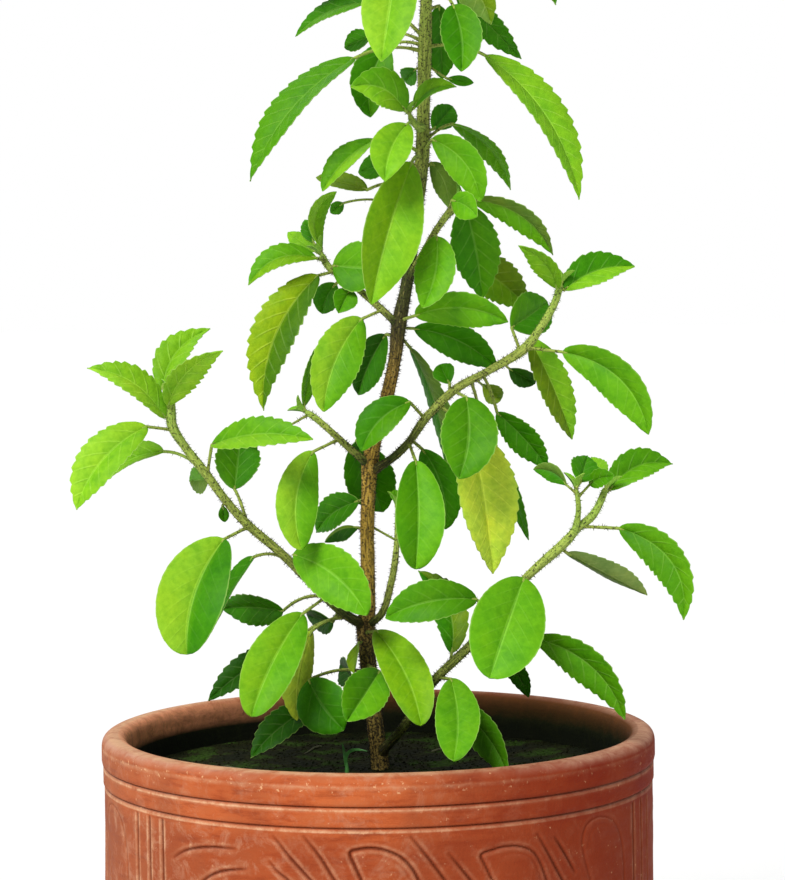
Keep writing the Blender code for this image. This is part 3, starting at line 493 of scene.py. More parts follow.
def potOutline():
    # radius, height, cut depth, chalk, which on the crest and the lip is also a painted highlight, and damp
    # with painted shade, of each row: under the band, and over it
    foot, rounding, height = pot["foot"], pot["footRounding"], pot["height"]
    under = [(r, 0.0) for r in (0.0, 30.0, 60.0)]
    under += ellipse((foot, rounding), (pot["ring"] - foot, rounding), -90, 0, 7)
    under += [(pot["ring"], level) for level in np.arange(20.0, height - pot["ringsEnd"] - 0.5, 4.5)]
    under = [(*place, 0.0, 0.0, 0.0) for place in under]
    over = []
    for rows, start, end in ((under, pot["bandBottom"] + 0.6, pot["ringsEnd"]),
                             (over, pot["lip"] + 0.4, pot["bandTop"] - 0.5)):
        for drop in reversed(ringRows(start, end)):
            rows.append((outsideRadius(drop), height - drop, *ringsNear(drop), 0.0))
    spring = (pot["crest"], height - pot["lip"])
    outer = ellipse(spring, (pot["rim"] - pot["crest"], pot["lip"]), 0, 90, 12, pot["lipSquareness"])
    for radius, level in outer:
        below = height - level
        # chalk with a painted highlight along the lip's outer corner, and on the crest
        belt = math.exp(-((below - pot["lipChalkAndHighlightBelow"]) / pot["lipChalkAndHighlightWidth"]) ** 2)
        over.append((radius, level, 0.0, pot["lipChalkAndHighlight"] * belt + crestChalkAndHighlight(below), 0.0))
    inner = ellipse(spring, (pot["crest"] - pot["throat"], pot["lip"]), 90, 180, 10, 0.85)[1:]
    inner += [(pot["throat"], height - drop) for drop in pot["throatRows"]]
    inner += ellipse((pot["innerFloor"], pot["floor"] + pot["innerCorner"]),
                     (pot["throat"] - pot["innerFloor"], pot["innerCorner"]), 0, -90, 3)
    inner += [(r, pot["floor"]) for r in (60.0, 30.0, 0.0)]
    for radius, level in inner:
        below = height - level
        # painted shade together with damp: the deeper into the mouth, the darker
        dampAndShade = min(1.0, pot["lipDampAndShade"] + below / pot["dampAndShadeDepth"])
        over.append((radius, level, 0.0, crestChalkAndHighlight(below), dampAndShade))
    return under, over


def cutDrainHoles(piece):
    for i in range(pot["drainHoles"]):
        angle = 2.0 * math.pi * i / pot["drainHoles"]
        away = pot["drainCircle"] * mm
        bpy.ops.mesh.primitive_cylinder_add(
            vertices=32, radius=pot["drainRadius"] * mm, depth=30 * mm,
            location=(math.cos(angle) * away, math.sin(angle) * away, 6 * mm))
        drill = bpy.context.object
        modifier = piece.modifiers.new("drain", "BOOLEAN")
        modifier.operation, modifier.solver, modifier.object = "DIFFERENCE", "MANIFOLD", drill
        evaluated = piece.evaluated_get(bpy.context.evaluated_depsgraph_get())
        drilled = bpy.data.meshes.new_from_object(evaluated)
        piece.modifiers.clear()
        piece.data = drilled
        bpy.data.objects.remove(drill)


def terracotta():
    # Low-fired earthenware, unglazed and wire-brushed: matt red-orange clay, dusty where hands and water
    # left salts, with painted shade in the cuts and on the right side, chalk and painted highlights on the
    # crest and the lip, mossy brown and then black with damp and painted shade inside the mouth, and
    # painted light on the left inner wall.
    clay, tree, shader = newMaterial("firedTerracotta", 0.12)
    recess, chalk, dampAndShade = (addNode(tree, "ShaderNodeAttribute", attribute_name=name).outputs["Fac"]
                           for name in ("recess", "chalk", "dampAndShade"))
    coords = addNode(tree, "ShaderNodeTexCoord").outputs["Object"]
    thrown, tall = (addNode(tree, "ShaderNodeMapping", {"Vector": coords, "Scale": (1.0, 1.0, upright)})
                    for upright in (5.5, 0.35))
    clouds, wipes, salts, specks, flames, grit = (
        addNode(tree, "ShaderNodeTexNoise", {
            "Vector": place, "Scale": perMm(size), "Detail": detail, "Roughness": rough, "Distortion": warp,
        }).outputs["Fac"]
        for place, size, detail, rough, warp in (
            # colour clouds, marks of wet hands, salts, flecks, flame marks and grit, with sizes in mm
            (coords, 48, 5.0, 0.62, 0.0), (thrown, 17, 6.0, 0.7, 0.0), (coords, 7, 7.0, 0.75, 0.6),
            (coords, 1.6, 3.0, 0.6, 0.0), (tall, 60, 3.0, 0.6, 0.0), (coords, 1.1, 3.0, 0.6, 0.0)))
    place = addNode(tree, "ShaderNodeSeparateXYZ", [coords])
    across, high = place.outputs["X"], place.outputs["Z"]
    normal = addNode(tree, "ShaderNodeNewGeometry").outputs["Normal"]
    rise = addNode(tree, "ShaderNodeSeparateXYZ", [normal]).outputs["Z"]
    ends = addNode(tree, "ShaderNodeMath", [across], operation="ABSOLUTE")
    body = addNode(tree, "ShaderNodeValToRGB", [clouds], [      # from scorched to dusty
        (0.30, "#8e3c1c"), (0.46, "#b45226"), (0.60, "#c25f2f"), (0.74, "#b06a46")])
    loose = shareOf(tree, [(specks, 0.66, 0.72, 0.0, 0.7), (salts, 0.48, 0.6, 0.0, 1.0)])
    onLip = shareOf(tree, [(specks, 0.62, 0.69, 0.0, 0.75), (high, 0.1530, 0.1545, 0.0, 1.0),
                           (high, 0.1590, 0.1575, 0.0, 1.0), (across, 0.0, 0.04, 1.0, 0.3)])
    flecks = addNode(tree, "ShaderNodeMath", [loose, onLip], operation="MAXIMUM")
    depth = addNode(tree, "ShaderNodeMath", [
        dampAndShade, addNode(tree, "ShaderNodeMapRange", [salts, 0.3, 0.7, -0.10, 0.10])], operation="ADD")
    # inside the mouth, brown to almost black with depth: painted shade together with damp and moss
    wetAndShaded = addNode(tree, "ShaderNodeValToRGB", [depth], [
        (0.10, "#71421f"), (0.34, "#5a381b"), (0.62, "#402e15"), (0.84, "#1f220e"), (1.0, "#12160a")])
    lining = paint(tree, wetAndShaded, [
        # painted light: the left inner wall under the lip made pale, where the lamps leave it in shade
        ([(across, -0.03, -0.08, 0.0, 1.0), (dampAndShade, 0.92, 0.66, 0.0, 1.0), (salts, 0.36, 0.58, 0.5, 1.0)],
         "#f6a276")])
    skin = paint(tree, body, [
        ([(wipes, 0.40, 0.68, 0.0, 0.5)], "#b56a42"),
        ([(wipes, 0.50, 0.32, 0.0, 0.6)], "#74301a"),
        ([(flames, 0.50, 0.68, 0.0, 0.6)], "#80442c"),
        # painted shade: redder and darker on the right side, away from the key light, and dustier on the
        # other
        ([(across, 0.002, 0.060, 0.0, 0.92), (clouds, 0.36, 0.62, 1.0, 0.8)], "#7c1d04"),
        ([(high, 0.1415, 0.1360, 0.0, 0.55)], "#8c381a"),
        ([(across, -0.055, -0.095, 0.0, 0.30)], "#98664a"),
        ([(salts, 0.50, 0.72, 0.0, 0.75), (clouds, 0.35, 0.62, 0.25, 1.0),
          (across, -0.02, 0.06, 1.0, 0.16)], "#be8a6c"),
        # salts and a painted highlight on the up-facing crest, mostly at its ends
        ([(rise, 0.15, 0.8, 0.0, 0.92), (salts, 0.36, 0.6, 0.4, 1.0),
          (ends, 0.035, 0.085, 0.08, 1.0)], "#c6967c"),
        # painted shade in the cuts, then the chalky edges
        ([(recess, -0.08, -0.55, 0.0, 0.72)], "#5c240f"),
        # chalk on the cut edges and rings, and chalk with a painted highlight along the crest and the lip,
        # fainter toward the right
        ([(chalk,), (salts, 0.34, 0.58, 0.12, 1.0), (across, -0.01, 0.055, 1.0, 0.3)], "#dfb088"),
        (flecks, "#e2ae80"),
        ([(dampAndShade, 0.04, 0.2, 0.0, 1.0)], lining)])
    grain = addNode(tree, "ShaderNodeMath", [grit, wipes], operation="ADD")
    bump = addNode(tree, "ShaderNodeBump", {"Height": grain, "Strength": 0.5, "Distance": 0.45 * mm})
    rough = addNode(tree, "ShaderNodeMapRange", [wipes, 0.3, 0.7, 0.66, 0.88])
    setInputs(tree, shader, {"Base Color": skin, "Roughness": rough, "Normal": bump})
    return clay


def throwPot():
    columns, fine, rows = pot["columns"], pot["fine"], pot["bandRows"]
    around = columns * fine
    clay = {"verts": [], "recess": [], "chalk": [], "dampAndShade": []}

    def addPoint(column, radius, height, high=0.0, chalk=0.0, dampAndShade=0.0):
        a = 2.0 * math.pi * column / around
        swirl = noise.noise(Vector((math.cos(a) * 2.2, math.sin(a) * 2.2, height * 0.03)))
        away = radius + high + swirl * pot["handWobble"] * (1.0 if radius > pot["foot"] else 0.0)
        point = (away * math.cos(a), away * math.sin(a), height)
        for key, value in zip(clay, (point, high, chalk, dampAndShade)):
            clay[key].append(value)
        return len(clay["verts"]) - 1

    # degrees are 0 at the front and grow to the right
    degrees = (360.0 * np.arange(around) / around + 90.0) % 360.0
    drops = np.linspace(pot["bandTop"], pot["bandBottom"], rows * fine + 1)
    high, chalk = carving(*np.meshgrid(degrees, drops))
    placed = {}

    def at(column, row):
        # a point of the carved band, made the first time that it is asked for
        k = column % around
        if (k, row) not in placed:
            level = pot["height"] - drops[row]
            placed[k, row] = addPoint(column, pot["wall"], level, high[row, k], chalk[row, k])
        return placed[k, row]

    share = np.linspace(0.0, 1.0, fine + 1)
    busy = np.zeros((rows, columns), bool)
    for row, column in np.ndindex(rows, columns):
        start = column * fine
        patch = high[row * fine:(row + 1) * fine + 1, np.arange(start, start + fine + 1) % around]
        top = patch[0, 0] * (1 - share) + patch[0, -1] * share
        bottom = patch[-1, 0] * (1 - share) + patch[-1, -1] * share
        flat = top[None, :] * (1 - share[:, None]) + bottom[None, :] * share[:, None]
        busy[row, column] = np.abs(patch - flat).max() > pot["flatEnough"]

    def side(column, row, upright, isFine):
        # points along one side of a cell, with those between its corners where the next cell is fine
        steps = range(1, fine) if isFine else ()
        return [at(column, row + s) if upright else at(column + s, row) for s in steps]

    faces = []
    for row, column in np.ndindex(rows, columns):
        left, right, top, bottom = column * fine, column * fine + fine, row * fine, row * fine + fine
        if busy[row, column]:
            faces += [(at(c, r + 1), at(c + 1, r + 1), at(c + 1, r), at(c, r))
                      for r in range(top, bottom) for c in range(left, right)]
            continue
        below = side(left, bottom, False, row + 1 < rows and busy[row + 1, column])
        above = side(left, top, False, row > 0 and busy[row - 1, column])
        onRight = side(right, top, True, busy[row, (column + 1) % columns])
        onLeft = side(left, top, True, busy[row, column - 1])
        faces.append((at(left, bottom), *below, at(right, bottom), *onRight[::-1],
                      at(right, top), *above[::-1], at(left, top), *onLeft))
    under, over = (
        [[addPoint(k * fine, *row) for k in range(columns if row[0] > 0.0 else 1)] for row in part]
        for part in potOutline())
    for run in (under, over):
        joinRings(faces, run, columns)
    last = rows * fine
    for k in range(columns):
        j, left, right = (k + 1) % columns, k * fine, k * fine + fine
        foot = (at(left, last), *side(left, last, False, busy[-1, k]), at(right, last))
        head = (at(left, 0), *side(left, 0, False, busy[0, k]), at(right, 0))
        faces += [(under[-1][k], under[-1][j], *foot[::-1]), (*head, over[0][j], over[0][k])]
    piece = addPiece("pot_wall", clay.pop("verts"), faces, terracotta(), ["pot"], 50.0, clay)
    cutDrainHoles(piece)
    print("pot thrown and carved:", len(piece.data.polygons), "faces")


throwPot()

# Soil: dark damp compost with crumbs, a little moss and a few dry stalks

soil = {
    "radius": 90.1, "level": 144.0, "bottom": 11.3, "floorRadius": 80.0, "corner": 8.7,
    "rings": 62, "spokes": 150,
    "swellHeight": 1.25, "swellSize": 17.0,
    "clodHeight": 0.9, "clodSize": 4.2, "clodShare": 0.6,
    "sunk": 0.25, "edgeWidth": 4.0,
    "crumbSize": 0.5, "crumbsPerSquareMetre": 120000.0, "seed": 11,
    "stemCollar": 1.3,
}

# Dry stalks lying on the soil: from, to, and radius
stalks = (
    ((-42.0, -24.0), (-30.0, -36.0), 0.55), ((50.0, -30.0), (64.0, -35.0), 0.5),
    ((60.0, -44.0), (71.0, -37.0), 0.45), ((-60.0, 12.0), (-48.0, 4.0), 0.5),
    ((20.0, 40.0), (34.0, 46.0), 0.5), ((-22.0, 52.0), (-28.0, 40.0), 0.45),
)


def soilHeight(x, y):
    # height of the soil's surface at a place, in millimetres
    broad = noise.noise(Vector((x, y, 3.0)) / soil["swellSize"]) * soil["swellHeight"]
    clod = noise.turbulence(Vector((x, y, 9.0)) / soil["clodSize"], 3, False) * soil["clodHeight"]
    collar = soil["stemCollar"] * math.exp(-((math.hypot(x - 0.5, y) - 3.0) / 5.0) ** 2)
    edge = min(1.0, (soil["radius"] - math.hypot(x, y)) / soil["edgeWidth"])
    return soil["level"] + (broad + clod * soil["clodShare"]) * (0.35 + 0.65 * edge) - soil["sunk"] + collar


def compost():
    # Peat and leaf mould, damp and crumbly: almost black, greened by algae, with a dull surface.
    earth, tree, shader = newMaterial("dampCompost", 0.08)
    coords = addNode(tree, "ShaderNodeTexCoord").outputs["Object"]
    # patches of algae and crumbs, with sizes in mm
    patches = addNode(tree, "ShaderNodeTexNoise", {"Vector": coords, "Scale": perMm(14), "Detail": 5.0})
    crumbs = addNode(tree, "ShaderNodeTexVoronoi", {"Vector": coords, "Scale": perMm(1.7)})
    patches, crumbs = patches.outputs["Fac"], crumbs.outputs["Distance"]
    tone = addNode(tree, "ShaderNodeValToRGB", [patches], [
        (0.38, "#141a09"), (0.52, "#22240f"), (0.62, "#2e4414")])
    light = addNode(tree, "ShaderNodeMapRange", [crumbs, 0.0, 0.7, 1.5, 0.5])
    lit = addNode(tree, "ShaderNodeVectorMath", {0: tone, "Scale": light}, operation="SCALE")
    skin = addNode(tree, "ShaderNodeMixRGB", [0.55, tone, lit])
    bump = addNode(tree, "ShaderNodeBump", {"Height": crumbs, "Strength": 0.8, "Distance": 0.8 * mm})
    rough = addNode(tree, "ShaderNodeMapRange", [patches, 0.3, 0.7, 0.75, 0.98])
    setInputs(tree, shader, {"Base Color": skin, "Roughness": rough, "Normal": bump})
    return earth


def crumbTree(crumb):
    # crumbs of compost scattered on the top face and half sunk in it
    tree, given, end = newTree("crumbs", **{"Crumbs": "Float", "Crumb size": "Float", "Seed": "Int"})
    facing = addNode(tree, "ShaderNodeSeparateXYZ", [addNode(tree, "GeometryNodeInputNormal")]).outputs["Z"]
    spread = addNode(tree, "GeometryNodeDistributePointsOnFaces", {
        "Mesh": given["Geometry"], "Density": given["Crumbs"], "Seed": given["Seed"],
        "Selection": addNode(tree, "FunctionNodeCompare", [facing, 0.6], operation="GREATER_THAN")})
    pebble = addNode(tree, "GeometryNodeMeshIcoSphere", {"Radius": given["Crumb size"], "Subdivisions": 1})
    turn, stretch = (
        addNode(tree, "FunctionNodeRandomValue", limits, data_type="FLOAT_VECTOR")
        for limits in ([(0, 0, 0), (6.28, 6.28, 6.28)], [(0.35, 0.35, 0.3), (1.9, 1.4, 1.0)]))
    placed = addNode(tree, "GeometryNodeInstanceOnPoints", {
        "Points": spread.outputs["Points"], "Instance": pebble.outputs["Mesh"],
        "Rotation": turn, "Scale": stretch})
    solid = addNode(tree, "GeometryNodeRealizeInstances", [placed])
    painted = addNode(tree, "GeometryNodeSetMaterial", {"Geometry": solid, "Material": crumb})
    joined = addNode(tree, "GeometryNodeJoinGeometry", [painted])
    setInputs(tree, joined, [given["Geometry"]])
    setInputs(tree, end, [joined])
    return tree


def layTube(verts, faces, points, radii, sides):
    # a closed tube through points, added to verts and faces
    points = np.asarray(points, float)
    side = np.array([0.31, -0.9, 0.2])
    first = len(verts)
    for point, direction, radius in zip(points, unit(np.gradient(points, axis=0)), radii):
        side = unit(side - direction * side.dot(direction))
        other = np.cross(direction, side)
        for k in range(sides):
            a = 2.0 * math.pi * k / sides
            verts.append(point + (side * math.cos(a) + other * math.sin(a)) * radius)
    closeTube(faces, first, sides, len(points))


def laySoil():
    radius, corner, spokes = soil["radius"], soil["corner"], soil["spokes"]
    profile = [(0.0, soil["bottom"]), (40.0, soil["bottom"])]
    profile += ellipse((soil["floorRadius"], soil["bottom"] + corner),
                       (radius - soil["floorRadius"], corner), -90, 0, 3)
    profile += [(radius, 60.0), (radius, 110.0)]
    profile += [(radius * reach, None) for reach in np.linspace(1.0, 0.0, soil["rings"] + 1)]
    verts, faces, rings = [], [], []
    for away, height in profile:
        count = spokes if away > 0.0 else 1
        rings.append(range(len(verts), len(verts) + count))
        for k in range(count):
            a = 2.0 * math.pi * k / spokes
            x, y = away * math.cos(a), away * math.sin(a)
            verts.append((x, y, soilHeight(x, y) if height is None else height))
    joinRings(faces, rings, spokes)
    earth = compost()
    piece = addPiece("soil_surface", verts, faces, earth, ["soil"], 60.0)
    growWithNodes(piece, crumbTree(earth), {
        "Crumbs": soil["crumbsPerSquareMetre"], "Crumb size": soil["crumbSize"] * mm, "Seed": soil["seed"]})
    print("soil laid:", len(piece.data.polygons), "faces")


def fibrous(name, specular, roughness, size, detail, colours):
    # a plain plant fibre, from one colour to another along a fine noise
    fibre, tree, shader = newMaterial(name, specular, roughness)
    coords = addNode(tree, "ShaderNodeTexCoord").outputs["Object"]
    lines = addNode(tree, "ShaderNodeTexNoise", {"Vector": coords, "Scale": perMm(size), "Detail": detail})
    tint = addNode(tree, "ShaderNodeMixRGB", [lines.outputs["Fac"], *colours])
    setInputs(tree, shader, {"Base Color": tint})
    return fibre


def layStalks():
    verts, faces = [], []
    for (ax, ay), (bx, by), radius in stalks:
        points = []
        for share in np.linspace(0.0, 1.0, 9):
            x, y = ax + (bx - ax) * share, ay + (by - ay) * share
            bow = math.sin(math.pi * share)
            points.append((x, y + bow * 0.9, soilHeight(x, y) + radius * 0.55 + bow * 0.35))
        layTube(verts, faces, points, [radius * (1.0 - 0.45 * s) for s in np.linspace(0, 1, 9)], 7)
    # straw-coloured dead stalk, split and dull
    straw = fibrous("dryStalk", 0.3, 0.85, 1.2, 3.0, ("#33301c", "#6f7355"))
    piece = addPiece("dry_stalks", verts, faces, straw)


seedling = {
    "blades": (
        ((-11.6, 0.0, 6.0), (-12.2, 5.0, 6.0), (-13.2, 10.5, 5.0)),
        ((-11.4, 0.0, 6.0), (-11.0, 7.0, 7.0), (-4.2, 7.4, 9.0)),
    ),
    "width": 1.25, "thickness": 0.3, "stations": 18, "sheathRadius": 0.75, "rootDepth": 8.0,
}


def growSeedling():
    verts, faces = [], []
    places = np.linspace(0.0, 1.0, seedling["stations"])
    widths = seedling["width"] / 2 * np.clip(np.sin(math.pi * (0.12 + 0.86 * places)) ** 0.6, 0.12, 1.0)
    thick = seedling["thickness"] / 2
    for rows in seedling["blades"]:
        points, ahead = bent(*(placeSeen(*row) for row in rows), places)
        side = unit(np.cross(ahead, towardEye))
        first = len(verts)
        for p, s, f, half in zip(points, side, np.cross(side, ahead), widths):
            verts += [p - s * half, p - f * (thick + 0.18 * half), p + s * half, p + f * thick]
        closeTube(faces, first, 4, len(points))
    neck = placeSeen(*seedling["blades"][0][0])
    layTube(verts, faces, [neck - up * seedling["rootDepth"], neck - up * 2, neck + up, neck + up * 3.4],
            [0.5, seedling["sheathRadius"], seedling["sheathRadius"], 0.35], 10)
    # young grass, thin and slightly glossy
    grass = fibrous("youngGrass", 0.4, 0.5, 1.5, 2.0, ("#2f7030", "#63a84f"))
    piece = addPiece("grass_seedling", verts, faces, grass, ["seedling"], 50.0)
    print("seedling grown")


laySoil()
layStalks()
growSeedling()


# Plant: woody stem, hairy branches and toothed leaves

stemFinish = {
    "sides": 18, "branchSides": 12, "step": 1.3,
    "fibreHeight": 0.34, "fibreSpacing": 0.8,
    "hairLength": 1.0, "hairRadius": 0.14, "hairsPerSquareMetre": 1300000.0,
    "knobHeight": 0.75, "knobSpacing": 2.6,  # bark knobs low on the stem
    "tipRounding": 2.6,
    "petioleRadius": 0.62, "petioleStep": 1.0,
    "longPetiole": 14.0, "petioleArch": 0.10,
    "seed": 5,
}

leafFinish = {
    # outline of the blade by edge number: smooth, 0, to sharply toothed, 3, or 4, smooth and round-tipped
    "fullness": (0.52, 0.54, 0.60, 0.64, 0.50), "tipFullness": (0.82, 0.70, 0.90, 0.98, 0.50),
    "shift": (1.04, 0.98, 0.88, 0.84, 1.08),
    "leaflet": 14.0, "leafletFullness": 0.72, "leafletFold": 14.0,
    "gain": (0.80, 0.83, 0.5, 1.0),
    "thickness": 0.36, "rimThickness": 0.22,
    "leastHalf": (0.5, 0.12),    # half width near the base and near the tip
    "curlDeg": 15.0,
    "columns": (0.06, 0.25, 0.5, 0.74, 0.92, 1.0),
    "toothPhases": (0.0, 0.25, 0.52, 0.78, 0.92), "toothPeak": 0.78, "toothedPart": (0.09, 0.975),
    "toothPitch": 2.1, "toothPitchPerMm": 0.047,
    "toothDepth": (0.12, 0.38, 0.66, 0.9, 0.12),
    "quilt": (0.14, 0.24, 0.36, 0.46, 0.14),
    "veinShow": (0.25, 0.42, 0.8, 1.0, 0.26),
    "veinSpacing": 5.6, "veinLean": 1.1,
    "midribRadius": 0.42, "midribTip": 0.12,
    "channelDepth": 0.22, "channelWidth": 0.09,      # over the midrib
    "waver": 0.35, "waverPitch": 9.0,
    "shade": (0.92, 1.08), "tipwardShade": 0.16, "blendWidth": 0.16,
    "seed": 21,
}

bud = {
    # length and lean from the stem, in degrees, of each pair of leaflets at a growing tip
    "pairs": ((7.0, 34.0), (4.2, 16.0)), "firstTurn": 35.0, "widthShare": 0.5, "fold": 34.0, "sunk": 0.9,
    "looks": ("gb2", "bp2"),
}

# Leaf greens, as the eye sees them in soft light. The darkest, k, also holds painted shade for leaves deep
# in the plant, and the palest, q, painted light for leaves that lie in shade.
greens = {
    "k": "#286008", "d": "#408c0a", "m": "#529810", "g": "#66ae1c", "b": "#82c22c", "p": "#9ad63e",
    "w": "#7cb41a", "y": "#9abf2c", "q": "#defc60", "o": "#6b8f19", "e": "#4e7e14", "r": "#98be22",
    "u": "#6f9344", "h": "#93b070",
}

# Centre lines of each stem, as points across, up, near and radius. The first line is the main axis.
stemLines = {
    "main_stem": (
        (
            (0.5, -38.0, 0.0, 3.1), (0.5, 0.0, 0.0, 3.2), (-0.6, 12.0, 0.0, 3.0),
            (-2.0, 25.0, 0.0, 2.9), (-3.6, 40.0, 0.0, 2.9), (-4.2, 53.0, 0.0, 3.4),
            (-3.2, 62.0, 0.0, 2.6), (-3.3, 87.0, 0.0, 2.5), (-2.8, 99.0, 0.0, 2.5),
            (-2.0, 112.0, 0.0, 2.9), (0.6, 123.0, 0.0, 2.3), (4.6, 137.0, 0.0, 2.3),
            (7.4, 150.0, 0.0, 2.3), (8.9, 162.0, 0.0, 2.7), (12.0, 177.0, -1.0, 2.2),
            (15.5, 201.0, -3.0, 2.2), (17.9, 222.0, -3.0, 2.6), (18.6, 240.0, -3.0, 2.3),
            (19.2, 260.0, -2.0, 2.5), (20.0, 278.0, -1.0, 2.1), (21.0, 293.0, 0.0, 2.3),
            (21.6, 322.0, 1.0, 1.9), (20.8, 350.0, 0.0, 1.7), (19.4, 373.0, -2.0, 1.4),
            (18.4, 391.0, -3.0, 1.0),
        ),
        ((18.2, 232.0, -3.0, 1.4), (14.8, 234.5, 4.0, 1.2), (13.3, 238.0, 6.0, 0.9)),
    ),
    "branch_low_left": (
        (
            (-4.2, 53.5, 0.0, 1.9), (-11.0, 57.0, 4.0, 1.8), (-22.0, 67.0, 6.0, 1.6),
            (-33.0, 78.5, 8.0, 1.6), (-46.5, 90.5, 10.0, 1.6), (-54.0, 99.0, 11.0, 1.5),
            (-62.0, 110.0, 12.0, 1.6), (-68.5, 118.5, 13.0, 1.5), (-73.0, 126.0, 14.0, 1.8),
            (-73.6, 132.0, 14.0, 1.8), (-73.6, 138.4, 14.0, 1.4),
        ),
    ),
    "branch_low_right": (
        (
            (0.3, 6.5, 0.0, 1.9), (7.0, 13.5, 8.0, 1.7), (13.0, 22.0, 14.0, 1.6),
            (20.5, 33.0, 20.0, 1.6), (34.5, 46.5, 26.0, 1.6), (44.0, 58.0, 28.0, 1.5),
            (54.0, 70.0, 27.0, 1.5), (67.0, 81.5, 26.0, 1.8), (73.0, 88.0, 25.0, 1.4),
            (77.5, 91.5, 25.0, 1.5), (80.5, 96.0, 24.0, 1.3), (83.5, 103.0, 23.0, 1.2),
        ),
        ((72.0, 86.5, 25.2, 1.1), (73.2, 95.0, 27.0, 0.9), (72.3, 103.0, 28.0, 0.8)),
    ),
    "branch_mid_left": (
        (
            (-2.2, 111.5, 0.0, 1.5), (-8.0, 116.5, 3.0, 1.3), (-14.0, 122.0, 5.0, 1.2),
            (-21.0, 128.3, 6.0, 1.2), (-25.6, 131.5, 6.0, 1.1),
        ),
    ),
    "branch_mid_right": (
        (
            (-1.5, 109.5, 0.0, 1.6), (5.5, 113.5, 3.0, 1.5), (12.0, 119.5, 4.0, 1.5),
            (18.5, 128.5, 5.0, 1.6), (29.0, 138.5, 5.0, 1.5), (41.0, 145.0, 4.0, 1.4),
            (53.5, 152.5, 3.0, 1.8), (60.0, 160.5, 2.0, 1.4), (65.0, 169.0, 1.0, 1.4),
            (67.5, 177.0, 0.0, 1.2),
        ),
    ),
    "branch_upper_left": (
        (
            (9.0, 161.5, 0.0, 1.5), (3.5, 167.0, 1.0, 1.3), (-8.0, 177.0, -3.0, 1.2),
            (-16.0, 183.0, -5.0, 1.3), (-19.0, 188.5, -6.0, 1.2),
        ),
    ),
    "branch_upper_right": (
        (
            (12.2, 178.0, -1.0, 1.4), (17.5, 187.0, 2.0, 1.2), (22.5, 195.5, 4.0, 1.2),
            (27.5, 202.5, 5.0, 1.2), (30.5, 207.0, 5.0, 0.8),
        ),
    ),
    "centre_shoot": (
        (
            (-4.0, 53.0, 0.0, 1.3), (1.6, 57.5, 4.5, 1.3), (4.5, 66.0, 6.5, 1.3),
            (6.6, 76.0, 7.0, 1.2), (7.4, 86.0, 6.0, 0.9), (7.6, 97.0, 5.0, 0.7),
        ),
    ),
}

